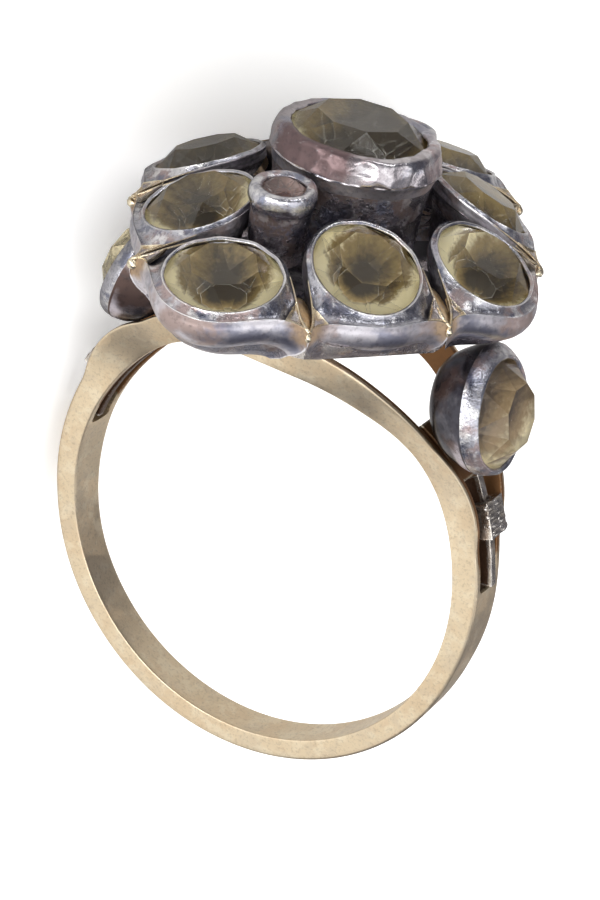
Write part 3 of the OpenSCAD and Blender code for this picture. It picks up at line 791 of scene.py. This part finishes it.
# height, reach of the outline towards the tips, and how far it climbs there
VALLEY_ROWS = [
    (3.5, 0.93, 0), (3.75, 0.955, 0.2), (4.1, 0.97, 0.66), (4.12, 0.9, 0.66), (4.1, 0.82, 0.78),
    (4.05, 0.72, 0.8), (4.0, 0.6, 0.55), (4.0, 0.4, 0.1), (4.0, 0.05, 0.0),
]
VALLEY_STEPS = 16
valley_rings = []
for z, reach, climb in VALLEY_ROWS:
    ring = []
    for k, tip in enumerate(TIPS):
        for i in range(VALLEY_STEPS):
            q = tip.lerp(TIPS[(k + 1) % 8], i / VALLEY_STEPS)
            rise = climb * abs(1 - 2 * i / VALLEY_STEPS) ** 4 + 0.1 * noise.noise(q * reach * 1.3)
            ring.append((q.x * reach, q.y * reach, FINGER_R + z + rise))
    valley_rings.append(ring)
valley = in_silver("valley", valley_rings, VALLEY)

# radius of each opening and rim, how far along the small ones sit, height and tilt
CENTRE_OPEN, CENTRE_RIM, CENTRE_TOP = 2.62, 3.25, 8.9
ACCENT_OPEN, ACCENT_R, ACCENT_Y, ACCENT_TOP, ACCENT_TILT = 0.82, 1.27, 4.82, 7.85, 8


def centre_lump(t, z):
    """A knocked corner and a worn flat on the centre collet's rim."""
    corner = max(0, 1 - abs((t - 18 + 180) % 360 - 180) / 16) * max(0, 1 - abs(z + 0.8) / 0.5)
    flat = max(0, 1 - abs((t + 60 + 180) % 360 - 180) / 14) * (z > -0.5)
    return 0.12 * corner - 0.04 * flat


c, o = CENTRE_RIM, CENTRE_OPEN
CENTRE_OUTLINE = [
    *line(DEEP, [(0.03, -5.2), (c * 0.88, -5.2)]),
    *curve(DEEP, [(c * 0.885, -4.2), (c * 0.89, -3.0), (c * 0.9, -2.0), (c * 0.93, -1.4)], 4),
    *curve(WALL, [(c * 0.945, -1.2), (c * 0.965, -1.02), (c * 0.985, -0.92)], 3),
    *curve(RIM, [(c, -0.88), (c * 1.0, -0.8), (c * 0.99, -0.6), (c * 0.972, -0.35), (c * 0.955, -0.12)], 4),
    *curve(RIM, [(c * 0.945, -0.04), (c * 0.92, 0.05), (o + 0.22, 0.1), (o + 0.08, 0.09)], 3),
    *curve(RIM, [(o + 0.02, 0.06), (o - 0.03, 0.0), (o - 0.03, -0.06)], 2),
    *line(DEEP, [(o + UNDERCUT, -0.18), (o + UNDERCUT, -0.5), (o * 0.8, -0.95),
                 (o * 0.5, -1.8), (0.03, -1.8)]),
]
centre_place = LAID @ Matrix.Translation((HEAD_SHIFT, 0, FINGER_R + CENTRE_TOP))
centre_cup = turned_cup("centre_cup", CENTRE_OUTLINE, centre_place, HEAD_SLOTS, 0.1, 0.1, 11.0, 176,
                        lump=centre_lump)
for face in centre_cup.data.polygons:
    if face.material_index == RIM:
        face.material_index = SATIN


def accent_place(s):
    return (LAID @ Matrix.Translation((0, s * ACCENT_Y, FINGER_R + ACCENT_TOP))
            @ Matrix.Rotation(radians(-s * ACCENT_TILT), 4, "X"))


r, o = ACCENT_R, ACCENT_OPEN
ACCENT_OUTLINE = [
    *line(DEEP, [(0.03, -2.8), (r * 0.82, -2.8)]),
    *curve(DEEP, [(r * 0.83, -2.0), (r * 0.85, -1.2), (r * 0.87, -0.8), (r * 0.93, -0.6)], 4),
    *curve(RIM, [(r * 0.97, -0.5), (r, -0.32), (r * 0.985, -0.12), (r * 0.93, 0.03), (r * 0.83, 0.1),
                 (o + 0.1, 0.08), (o + 0.0, 0.02), (o - 0.02, -0.05)], 4),
    *line(DEEP, [(o + 0.1, -0.12), (o + 0.1, -0.26), (o * 0.5, -0.8), (0.03, -0.8)]),
]
accent_cups = [
    turned_cup("accent_cup", ACCENT_OUTLINE, accent_place(s), HEAD_SLOTS, 0.035, 0.07, 20.0 + s, 88)
    for s in (-1, 1)
]
head = combine("head_silver", back, [valley, *[petal_cup(p) for p in PETALS], centre_cup, *accent_cups])
settle(head, "cluster_setting", "head_silver")

# Gilt claws
# Where two petals meet, gold is folded over both corners: a thin plate with a raised
# border on each, a bright ridge along each edge, brown gold run down the groove between
# them and a rounded bead at the tip.
# how far the plates reach along a petal's flank and front
FLANK_REACH, FRONT_REACH = 1.3, 0.95
PLATE_ROWS, PLATE_COLUMNS = 16, 12

claw_gilt = metal(
    "claw_gilt", 0.000014, Bright=(0.95, 0.85, 0.64), Dull=(0.60, 0.47, 0.30),
    Warm_film=(0.34, 0.23, 0.13), Cold_film=(0.40, 0.36, 0.37), Black=(0.07, 0.045, 0.028),
    Near_joint=(0.70, 0.52, 0.28), Blotch_size=2200.0, Film_amount=0.8, Shine_amount=0.5,
    Tarnish_reach=0.36, Pits=0.6, Smooth=0.24, Rough=0.45,
)
worn_leaf = metal(
    "worn_leaf", 0.000014, Bright=(0.92, 0.86, 0.80), Dull=(0.58, 0.52, 0.51),
    Warm_film=(0.50, 0.36, 0.22), Cold_film=(0.34, 0.33, 0.38), Black=(0.07, 0.05, 0.045),
    Near_joint=(0.62, 0.46, 0.28), Blotch_size=2200.0, Film_amount=0.8, Shine_amount=0.5,
    Tarnish_reach=0.36, Pits=0.4, Smooth=0.24, Rough=0.45,
)
groove_gilt = metal(
    "groove_gilt", 0.00002, Bright=(0.92, 0.74, 0.48), Dull=(0.66, 0.46, 0.26),
    Warm_film=(0.46, 0.28, 0.13), Cold_film=(0.40, 0.33, 0.31), Black=(0.30, 0.19, 0.10),
    Near_joint=(0.66, 0.46, 0.26), Blotch_size=2200.0, Film_amount=0.8, Shine_amount=0.5,
    Tarnish_reach=0.16, Pits=0.4, Smooth=0.28, Rough=0.5,
)
CLAW_SLOTS, GROOVE = (claw_gilt, worn_leaf, groove_gilt), 2
# how large the bead at each tip is, anticlockwise from the far end
BEAD_SIZES = (1, 1, 2.3, 2.0, 0.9, 1.1, 2.5, 1.6)
# sizes of the beads, of the ridges on the edges and of the gold in the grooves
BEAD_RADII = (0.02, 0.06, 0.09, 0.11, 0.12, 0.11, 0.08, 0.05, 0.02)
RIDGE_REACH, RIDGE_ROOT, RIDGE_TAPER, RIDGE_LIFT = 2.5, 0.068, 0.05, 0.01
GROOVE_REACH, GROOVE_DROP, GROOVE_FADE, GROOVE_MIN, GROOVE_FILL = 2.3, 0.1, 0.5, 0.05, 1.1
PLATE_THICK, PLATE_BORDER = 0.14, 0.11


def tube(name, path, radii, n=14, kind=0):
    """A round body along a path, with a radius at each of its points."""
    rings = []
    for k, q in enumerate(path):
        ahead = (path[min(k + 1, len(path) - 1)] - path[max(k - 1, 0)]).normalized()
        a = ahead.cross(Vector((0.3, 0.2, 1))).normalized()
        b = ahead.cross(a)
        turns = [2 * pi * i / n for i in range(n)]
        rings.append([q + radii[k] * (cos(turn) * a + sin(turn) * b) for turn in turns])
    points, faces = skin(rings)
    return solid(name, points, faces, kinds=[kind] * len(faces), slots=CLAW_SLOTS)


def flank_way(p, tip):
    """The petal's own angle at a tip, and the sign that leads from there down its flank."""
    t0 = p.corner(tip)
    return t0, 1 if t0 > 0 else -1


def along_edge(p, t0, way, reach):
    """Evenly spaced points along a petal's edge, from its tip to the given reach."""
    fine = [p.edge(t0 + way * 0.5 * i) for i in range(140)]
    gone = np.concatenate([[0], np.cumsum([(b - a).length for a, b in zip(fine, fine[1:])])])
    marks = np.linspace(0, reach, PLATE_ROWS)
    return [Vector([np.interp(m, gone, [q[axis] for q in fine]) for axis in range(3)]) for m in marks]


def corner_plate(p, tip):
    """The leaf over one petal's corner: thin in the middle, with a raised border."""
    t0, way = flank_way(p, tip)
    flank, front = along_edge(p, t0, way, FLANK_REACH), along_edge(p, t0, -way, FRONT_REACH)
    rings, kinds = [], []
    for row in range(1, PLATE_ROWS):
        u = row / (PLATE_ROWS - 1)
        top, bottom, inner = [], [], []
        for column in range(PLATE_COLUMNS):
            v = column / (PLATE_COLUMNS - 1)
            q = flank[row].lerp(front[row], v)
            border = max(0, 1 - min(v, 1 - v) * u / PLATE_BORDER, 1 - (1 - u) / 0.1)
            leaf = 0.012 + 0.055 * border ** 0.5 - 0.06 * sin(pi * v) * u * (1 - border)
            top.append(q + p.up * leaf)
            bottom.append(q - p.up * PLATE_THICK)
            inner.append(int(border == 0))
        rings.append(top + bottom[::-1])
        if row > 1:
            kinds += inner + [0] * PLATE_COLUMNS
    points, faces = skin(rings)
    kinds += [0] * (len(faces) - len(kinds))
    return solid("corner_plate", points, faces, kinds=kinds, slots=CLAW_SLOTS)


def claw(k):
    tip, size = TIPS[k], BEAD_SIZES[k]
    pair = (PETALS[k], PETALS[(k + 1) % 8])
    inward = Vector((HEAD_SHIFT - tip.x, -tip.y, 0)).normalized()
    bead = [tip + inward * (0.1 * size - 0.14 * sin(pi * f)) + Vector((0, 0, 0.06 - 0.5 * f))
            for f in np.linspace(0, 1, 9)]
    body = tube("bead", bead, [size * r for r in BEAD_RADII])
    parts = [corner_plate(p, tip) for p in pair]
    sides = []
    for p in pair:
        path = along_edge(p, *flank_way(p, tip), RIDGE_REACH)
        radii = [RIDGE_ROOT - RIDGE_TAPER * i / (PLATE_ROWS - 1) for i in range(PLATE_ROWS)]
        parts.append(tube("ridge", [q + p.up * RIDGE_LIFT for q in path], radii, 10))
        sides.append(along_edge(p, *flank_way(p, tip), GROOVE_REACH))
    middle, radii = [], []
    for i, (a, b) in enumerate(zip(*sides)):
        half = (a - b).length / 2
        radii.append(GROOVE_MIN + GROOVE_FILL * half)
        fade = GROOVE_DROP + GROOVE_FADE * (i / (PLATE_ROWS - 1)) ** 2
        middle.append((a + b) / 2 - Vector((0, 0, radii[-1] * 0.9 + fade)))
    parts.append(tube("groove", middle, radii, 16, GROOVE))
    return combine(f"claw_gilt_{k + 1}", body, parts)


for k in range(8):
    settle(claw(k), f"claw_{k + 1}", "claw_gilt", sharp=45)

# Cut stones
# Old table-cut stones, closed at the back over foil: an eight-sided table, eight triangles
# and eight kites. The foil is painted dark in the middle, part tarnish and part painted
# shade, and pale towards one side, part clean foil and part painted light. Those of the head
# are pale greenish yellow, the shoulder stones browner and the two small ones pinkish.
# how far the girdle reaches under the rim, its height and thickness, depth of the stone
GIRDLE_OUT, GIRDLE_LOW, GIRDLE_T, STONE_DEEP = 0.1, 0.16, 0.12, 0.95
BACK_FACET = 0.3
WORN_EDGE, WORN_FROM = 0.00003, 8
GLASS, FOIL = 0, 1
GLASS_BENDS = 1.54
FOIL_LEAN = 0.64
ARC = 6


def cut_stone(name, a, b, crown, place, slots, table=0.6, turn=0.0, aim=0.0, clear=1.0,
              low=GIRDLE_LOW, girdle=GIRDLE_T, deep=STONE_DEEP):
    """a and b are the opening's half sizes; aim turns the foil's pale side, clean foil with painted light,
    and clear widens it.
    """
    ga, gb = a + GIRDLE_OUT, b + GIRDLE_OUT

    def oval_at(t, part, z):
        return Vector((ga * part * cos(radians(t)), gb * part * sin(radians(t)), z))

    corners = [oval_at(turn + 22.5 + 45 * k, table * a / ga, crown) for k in range(8)]
    culet = [oval_at(turn + 22.5 + 45 * k, BACK_FACET, -low - girdle - deep) for k in range(8)]
    upper, lower = [], []
    for k in range(8):
        g0, g1 = oval_at(turn + 45 * k, 1, -low), oval_at(turn + 45 * (k + 1), 1, -low)
        normal = (g0 - corners[k]).cross(g1 - corners[k])
        for i in range(ARC):
            q = oval_at(turn + 45 * (k + i / ARC), 1, -low)
            if i:
                q.z = corners[k].z - normal.xy.dot(q.xy - corners[k].xy) / normal.z
            upper.append(q)
            lower.append(Vector((q.x, q.y, -low - girdle)))
    n = 8 * ARC
    table_i, culet_i = 2 * n, 2 * n + 8
    faces, kinds = [], []

    def add(face, kind):
        faces.append(face)
        kinds.append(kind)

    for k in range(8):
        arc = [(k * ARC + i) % n for i in range(ARC + 1)]
        add((table_i + k, *arc), GLASS)
        add((table_i + (k - 1) % 8, table_i + k, k * ARC), GLASS)
        add((culet_i + k, *[n + i for i in reversed(arc)]), FOIL)
        add((culet_i + k, culet_i + (k - 1) % 8, n + k * ARC), FOIL)
    for i in range(n):
        add((i, n + i, n + (i + 1) % n, (i + 1) % n), FOIL)
    add(tuple(range(table_i, table_i + 8)), GLASS)
    add(tuple(range(culet_i, culet_i + 8)), FOIL)
    obj = solid(name, upper + lower + corners + culet, faces, place, kinds, slots)
    bm = bmesh.new()
    bm.from_mesh(obj.data)
    worn = [e for e in bm.edges if len(e.link_faces) == 2 and e.calc_face_angle() > radians(WORN_FROM)]
    bmesh.ops.bevel(bm, geom=worn, offset=WORN_EDGE, segments=2, affect="EDGES", clamp_overlap=True)
    bmesh.ops.recalc_face_normals(bm, faces=bm.faces)
    layer = bm.loops.layers.uv.new("cut")
    home, spin = place.inverted(), Matrix.Rotation(radians(-aim), 2)
    for face in bm.faces:
        for corner in face.loops:
            q = home @ corner.vert.co
            corner[layer].uv = clear * (spin @ Vector((q.x / ga, q.y / gb)))
    bm.to_mesh(obj.data)
    bm.free()
    return obj


def from_middle(tree):
    """Off the stone's own map: how far out, how far towards its pale side, where painted light lies on clean
    foil, and which way out.
    """
    cut, split = tree.nodes.new("ShaderNodeUVMap"), tree.nodes.new("ShaderNodeSeparateXYZ")
    cut.uv_map = "cut"
    tree.links.new(cut.outputs["UV"], split.inputs[0])
    u, v = split.outputs["X"], split.outputs["Y"]
    squares = maths(tree, "ADD", maths(tree, "MULTIPLY", u, u), maths(tree, "MULTIPLY", v, v))
    far = maths(tree, "ADD", maths(tree, "SQRT", squares), 0.001)
    outward = tree.nodes.new("ShaderNodeCombineXYZ")
    feed(tree, outward.inputs["X"], maths(tree, "DIVIDE", u, far))
    feed(tree, outward.inputs["Y"], maths(tree, "DIVIDE", v, far))
    feed(tree, outward.inputs["Z"], maths(tree, "MULTIPLY", far, 0.35))
    return far, u, outward.outputs[0]


def stone_glass(name, tint, scuffed):
    """Clear stone, scuffed and pitted on its table."""
    mat, tree, shader = plain_material(name)
    shader.inputs["Transmission Weight"].default_value = 1.0
    shader.inputs["IOR"].default_value = GLASS_BENDS
    shader.inputs["Base Color"].default_value = (*tint, 1)
    where = object_place(tree)
    far, _, _ = from_middle(tree)
    on_table = ramp(tree, far, 0.5, 0.7, scuffed, 0.05)
    pits = cloud(tree, where, 9000.0, 3)
    dullest = maths(tree, "MULTIPLY", on_table, 0.16)
    feed(tree, shader.inputs["Roughness"], ramp(tree, pits, 0.45, 0.75, 0.02, dullest))
    bumped(tree, shader, maths(tree, "MULTIPLY", cloud(tree, where, 5200.0, 5), on_table), 0.000009)
    return mat


def stone_foil(name, clear, olive, gone, reach):
    """Foil painted pale at the stone's rim, clean foil with painted light, olive further in and black in the
    middle, tarnish with painted shade.
    """
    mat, tree, shader = plain_material(name)
    shader.inputs["Metallic"].default_value = 0.5
    where = object_place(tree)
    far, toward, outward = from_middle(tree)
    clouds, fine = cloud(tree, where, 620.0, 3), cloud(tree, where, 6500.0, 4)
    spread = shifted(tree, maths(tree, "MULTIPLY_ADD", toward, FOIL_LEAN, far), clouds, 0.4)
    spread = shifted(tree, spread, cloud(tree, outward, 5.0, 3), maths(tree, "MULTIPLY", far, 0.5))
    spread = shifted(tree, spread, fine, 0.26)
    # gone, the dark middle, is tarnish with painted shade; clear, the pale side, is clean foil with painted
    # light
    colour = blend(tree, ramp(tree, spread, reach - 0.34, reach + 0.04), gone, olive)
    colour = blend(tree, ramp(tree, spread, reach - 0.02, reach + 0.26), colour, clear)
    feed(tree, shader.inputs["Base Color"], colour)
    feed(tree, shader.inputs["Roughness"], ramp(tree, clouds, 0.3, 0.7, 0.3, 0.5))
    return mat


# each foil's colours: its pale side, clean foil with painted light; olive; its dark middle, tarnish with
# painted shade; and where the pale begins
yellow_glass = stone_glass("yellow_glass", (0.97, 0.95, 0.84), 1.0)
yellow_foil = stone_foil("yellow_foil", (1.0, 0.93, 0.68), (0.25, 0.18, 0.075), (0.022, 0.014, 0.006), 0.46)
pink_glass = stone_glass("pink_glass", (0.92, 0.86, 0.84), 0.5)
pink_foil = stone_foil("pink_foil", (0.55, 0.42, 0.38), (0.34, 0.24, 0.21), (0.16, 0.10, 0.09), 0.6)
amber_glass = stone_glass("amber_glass", (0.96, 0.93, 0.86), 0.7)
amber_foil = stone_foil("amber_foil", (1.0, 0.91, 0.64), (0.28, 0.20, 0.11), (0.05, 0.032, 0.02), 0.46)
YELLOW, AMBER, PINK = (yellow_glass, yellow_foil), (amber_glass, amber_foil), (pink_glass, pink_foil)
# for each petal: which way its foil is pale, clean foil with painted light, how far the pale reaches, how it
# is turned
PETAL_AIMS = (30, 120, 127, 90, 32, -34, -114, 60)
PETAL_CLEAN_AND_LIT = (0.36, 0.5, 0.66, 0.94, 1.16, 1.24, 1.08, 0.42)
PETAL_TURNS = (0, 17, 34, 21, 36, 40, 25, 29)
for k, p in enumerate(PETALS):
    axes = Matrix([[*row] for row in zip((*p.out, 0), (*p.side, 0), (*p.up, 0), (*p.centre, 1))])
    stone = cut_stone(f"petal_gem_{k + 1}", p.length, p.width, 0.5, LAID @ axes, YELLOW,
                      turn=PETAL_TURNS[k], aim=PETAL_AIMS[k], clear=PETAL_CLEAN_AND_LIT[k])
    settle(stone, f"petal_stone_{k + 1}", "stone", sharp=6)
stone = cut_stone("centre_gem", CENTRE_OPEN, CENTRE_OPEN, 0.62, centre_place, YELLOW, 0.64, 10,
                  aim=-90, clear=0.72, deep=1.2)
settle(stone, "centre_stone", "stone", sharp=6)
for word, mirror, inward in SHOULDERS:
    stone = cut_stone(f"shoulder_gem_{word}", SIDE_OPEN, SIDE_OPEN, 0.82, facing(inward, mirror),
                      AMBER, clear=0.62)
    settle(stone, f"shoulder_stone_{word}", "stone", sharp=6)
size = ACCENT_OPEN - 0.04
for number, s in ((1, -1), (2, 1)):
    stone = cut_stone(f"accent_gem_{number}", size, size, 0.1, accent_place(s), PINK, 0.7,
                      low=0.13, girdle=0.08, deep=0.4)
    settle(stone, f"accent_stone_{number}", "accent_stone", sharp=6)

# Tarnish and wear
# Years of wear leave tarnish in every hollow and polish every edge. Both are read off
# the finished shapes: how much sky each point sees, and how sharply it stands out.
# A third mask holds gilt and solder film round the head's tips and a rosy film on the centre rim, painted
# shade on the shoulder strips and, over tarnish, between the hoop's rails, and a painted highlight band on
# each shoulder collet's bowl.
PER_METRE = 1000
# rays sent from each point, spread by the golden angle, and how far they look
RAY_COUNT, RAY_REACH, RAY_LIFT, RAY_SPAN, GOLDEN_TURN = 20, 4.0, 0.02, 0.94, 2.399963
HOLLOW_GAIN, EDGE_GAIN = 1.6, 2.2
TIP_FILM, TIP_FILM_REACH = 1.1, 1.05
# way in which the centre rim has its rosy film, in degrees round the head, how sharply
# the film ends, its lowest height and its greatest strength
ROSY_SIDE, ROSY_GAIN, ROSY_FROM, ROSY_LOW, ROSY_MOST = -103, 3.0, 1.95, -0.86, 0.9
METALS = {hoop_gold, strip_silver, rim_silver, claw_gilt}
METAL_PIECES = [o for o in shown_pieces() if o.type == "MESH" and METALS & set(o.data.materials)]
tree_points, tree_faces = [], []
for o in METAL_PIECES:
    base = len(tree_points)
    tree_points += [v.co * PER_METRE for v in o.data.vertices]
    tree_faces += [tuple(base + i for i in f.vertices) for f in o.data.polygons]
sky = BVHTree.FromPolygons(tree_points, tree_faces)
RAYS = []
for i in range(RAY_COUNT):
    z = 1 - (i + 0.5) / RAY_COUNT * RAY_SPAN
    ring_r, turn = sqrt(1 - z * z), GOLDEN_TURN * i
    RAYS.append((ring_r * cos(turn), ring_r * sin(turn), z))
UPRIGHT = np.array(LAID.inverted())


def read_off(mesh, collection, what, width):
    values = np.empty(len(collection) * width, np.int32 if what == "vertices" else np.float32)
    collection.foreach_get(what, values)
    return values.reshape(-1, width)


def films_and_painted_light(obj, upright):
    """Third mask. Where gold and silver meet: film round the tips on the head, and a rosy film on the centre
    rim. Elsewhere painted light: painted shade low on the strips, a painted highlight band on one side of
    each collet's bowl, and painted shade over tarnish between the rails inside the shoulders on the hoop.
    """
    if obj is head:
        away = np.min([np.linalg.norm(upright - np.array(t), axis=1) for t in TIPS], axis=0)
        x, y, z = (upright - [HEAD_SHIFT, 0, FINGER_R + CENTRE_TOP]).T
        rosy = np.clip(ROSY_GAIN * np.cos(np.arctan2(y, x) - radians(ROSY_SIDE)) - ROSY_FROM, 0, ROSY_MOST)
        rosy = np.where((np.hypot(x, y) < CENTRE_RIM * 1.08) & (z > ROSY_LOW), rosy, 0)
        return np.maximum(np.clip(TIP_FILM - away / TIP_FILM_REACH, 0, 1), rosy)
    # painted shade: the strip and the lower part of the collar, low between the rails
    if obj.name.startswith("strip_"):
        low = FINGER_R + STRIP_T - 0.12 - np.hypot(upright[:, 0], upright[:, 2])
        return np.clip(low / 0.12, 0, 1)
    # a painted highlight: a band on one side of the bowl, below the rim
    if obj.name.startswith("collet_"):
        _, mirror, inward = SHOULDERS[0 if "left" in obj.name else 1]
        own = np.array((LAID.inverted() @ facing(inward, mirror)).inverted())
        x, z = upright @ own[0, :3] + own[0, 3], upright @ own[2, :3] + own[2, 3]
        return np.where(z < -0.6, np.clip((z + 1.3) / 0.7, 0, 0.8) * np.clip(x / 2 + 0.35, 0, 1), 0)
    # painted shade over tarnish: the rails' inner faces and the plates between them, inside the shoulders
    if obj is shank:
        up = np.degrees(np.arctan2(upright[:, 2], np.abs(upright[:, 0])))
        deep = (np.hypot(upright[:, 0], upright[:, 2]) - FINGER_R) / RAIL_DEPTH
        faces = [np.array([rail_place(col, a) for a in up]) for col in (NEAR, NEAR + 1, FAR, FAR + 1)]
        near_face = faces[0] + (faces[1] - faces[0]) * deep
        far_face = faces[2] + (faces[3] - faces[2]) * deep
        depth = np.minimum(near_face + upright[:, 1], far_face - upright[:, 1])
        inside = np.clip((depth - 0.1) / 0.15, 0, 1)
        return inside * np.clip((up - 12) / 10, 0, 1) * np.clip((84 - up) / 14, 0, 1)
    return np.zeros(len(upright))


for o in METAL_PIECES:
    mesh = o.data
    n = len(mesh.vertices)
    co = read_off(mesh, mesh.vertices, "co", 3)
    upright = co @ UPRIGHT[:3, :3].T + UPRIGHT[:3, 3]
    co = co * PER_METRE
    normals = read_off(mesh, mesh.vertex_normals, "vector", 3)
    hollow = np.zeros(n)
    for i in range(n):
        up = Vector(normals[i])
        x = up.orthogonal().normalized()
        y = up.cross(x)
        start = Vector(co[i]) + up * RAY_LIFT
        for rx, ry, rz in RAYS:
            place, _, _, far = sky.ray_cast(start, x * rx + y * ry + up * rz, RAY_REACH)
            if place is not None:
                hollow[i] += (1 - far / RAY_REACH) / RAY_COUNT
    a, b = read_off(mesh, mesh.edges, "vertices", 2).T
    step = co[b] - co[a]
    step /= np.maximum(np.linalg.norm(step, axis=1, keepdims=True), 1e-6)
    total, count = np.zeros((n, 3)), np.zeros(n)
    for end, sign in ((a, 1), (b, -1)):
        np.add.at(total, end, step * sign)
        np.add.at(count, end, 1)
    count = np.maximum(count, 1)
    edge = np.clip(-(total * normals).sum(1) / count * EDGE_GAIN, 0, 1)
    for _ in range(2):
        near = np.zeros(n)
        np.add.at(near, a, hollow[b])
        np.add.at(near, b, hollow[a])
        hollow = (hollow + near / count) / 2
    values = np.ones((n, 4), np.float32)
    values[:, 0] = np.clip(hollow * HOLLOW_GAIN, 0, 1)
    values[:, 1] = edge
    values[:, 2] = films_and_painted_light(o, upright)
    mesh.color_attributes.new("age_and_light", "FLOAT_COLOR", "POINT").data.foreach_set("color", values.ravel())

# Floor and light
# A pale seamless sheet and soft boxes in an evenly lit tent. What the metal and stones
# mirror is another room: dark above and to the left, with a bright side and a few boxes.
# The camera stands at the photograph's angle.
FLOOR_HALF = 0.6
FLOOR_WHITE, FLOOR_GLOW = (0.96, 0.96, 0.96), 0.3
FLOOR_DARK, FLOOR_GREY, FLOOR_PALE = (0.13, 0.125, 0.135), (0.50, 0.49, 0.48), (0.85, 0.84, 0.83)
DARK_TO, GREY_AT, PALE_FROM = -0.05, -0.005, 0.06
floor_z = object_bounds()[0].z
corners = [(x * FLOOR_HALF, y * FLOOR_HALF, floor_z) for x, y in ((-1, -1), (1, -1), (1, 1), (-1, 1))]
floor = solid("floor", corners, [(0, 1, 2, 3)], place=Matrix.Identity(4))
pale, tree, shader = plain_material("pale_sheet")


def in_a_mirror(tree):
    """1 for what the metal and the stones mirror, 0 for what is seen straight."""
    seen_by = tree.nodes.new("ShaderNodeLightPath").outputs
    return maths(tree, "MULTIPLY", seen_by["Is Glossy Ray"], seen_by["Is Reflection Ray"])


# seen in the metal and the stones the sheet is painted dark, then grey, then pale along X, a painted
# reflection; seen straight it is plain white and glows faintly, lighting the ring from below and washing out
# its shadow
along = tree.nodes.new("ShaderNodeSeparateXYZ")
tree.links.new(object_place(tree), along.inputs[0])
sheet = blend(tree, ramp(tree, along.outputs["X"], DARK_TO, GREY_AT), FLOOR_DARK, FLOOR_GREY)
sheet = blend(tree, ramp(tree, along.outputs["X"], GREY_AT, PALE_FROM), sheet, FLOOR_PALE)
inside_mirror = in_a_mirror(tree)
feed(tree, shader.inputs["Base Color"], blend(tree, inside_mirror, FLOOR_WHITE, sheet))
feed(tree, shader.inputs["Emission Color"], blend(tree, inside_mirror, (1, 1, 1), (0, 0, 0)))
shader.inputs["Emission Strength"].default_value = FLOOR_GLOW
shader.inputs["Roughness"].default_value = 0.9
floor.data.materials.append(pale)

MIDDLE = Vector((0, -0.005, 0))
# name, place, size, power, whether it lights matt surfaces and whether it is mirrored
LAMPS = [
    ("top_box", (-0.16, -0.14, 0.78), (0.6, 0.6), 1.1, True, True),
    ("back_light", (-0.42, 0.44, 0.42), (0.5, 0.5), 1.8, True, False),
    ("right_box", (0.60, -0.24, 0.27), (0.34, 0.24), 1.5, False, True),
    ("high_box", (0.33, -0.17, 0.60), (0.24, 0.24), 0.8, False, True),
    ("front_box", (-0.16, -0.62, 0.20), (0.3, 0.14), 0.6, False, True),
    ("back_box", (-0.60, 0.20, 0.24), (0.2, 0.16), 0.2, False, True),
]
for name, place, size, power, lights_matt, mirrored in LAMPS:
    lamp = bpy.data.lights.new(name, "AREA")
    lamp.shape = "RECTANGLE"
    lamp.size, lamp.size_y = size
    lamp.energy = power
    obj = put_in_scene(name, lamp)
    obj.location = place
    obj.rotation_euler = (MIDDLE - Vector(place)).to_track_quat("-Z", "Y").to_euler()
    obj.visible_camera = False
    obj.visible_diffuse = lights_matt
    obj.visible_glossy = mirrored

camera = put_in_scene("camera", bpy.data.cameras.new("camera"))
camera.data.lens = 100
camera.data.sensor_width = 36
camera.data.clip_start = 0.005
camera.data.clip_end = 3
camera.location = (0.04659520, -0.05455578, 0.06931426)
camera.rotation_mode = "QUATERNION"
camera.rotation_quaternion = (0.041823827, -0.247501629, 0.290782406, -0.923276396)
bpy.context.scene.camera = camera
bpy.context.scene.view_settings.view_transform = "Standard"

# colour and strength of the tent seen straight, then the room that is seen in mirrors
TENT_WHITE, TENT_STRENGTH = (1.22, 1.21, 1.20), 0.9
ROOM_DARK, ROOM_ABOVE, ROOM_BRIGHT = (0.13, 0.13, 0.155), (0.62, 0.62, 0.64), (1.12, 1.10, 1.07)
BRIGHT_SIDE = (0.947, 0.083, 0.309)
world = bpy.data.worlds.new("studio")
bpy.context.scene.world = world
world.use_nodes = True
tree = world.node_tree
aim, height = tree.nodes.new("ShaderNodeVectorMath"), tree.nodes.new("ShaderNodeSeparateXYZ")
aim.operation = "DOT_PRODUCT"
aim.inputs[1].default_value = BRIGHT_SIDE
way = tree.nodes.new("ShaderNodeTexCoord").outputs["Generated"]
feed(tree, aim.inputs[0], way)
feed(tree, height.inputs[0], way)
room = blend(tree, ramp(tree, height.outputs["Z"], 0.55, 0.85), ROOM_DARK, ROOM_ABOVE)
room = blend(tree, ramp(tree, aim.outputs["Value"], 0.6, 0.88), room, ROOM_BRIGHT)
feed(tree, tree.nodes["Background"].inputs["Color"], blend(tree, in_a_mirror(tree), TENT_WHITE, room))
tree.nodes["Background"].inputs["Strength"].default_value = TENT_STRENGTH
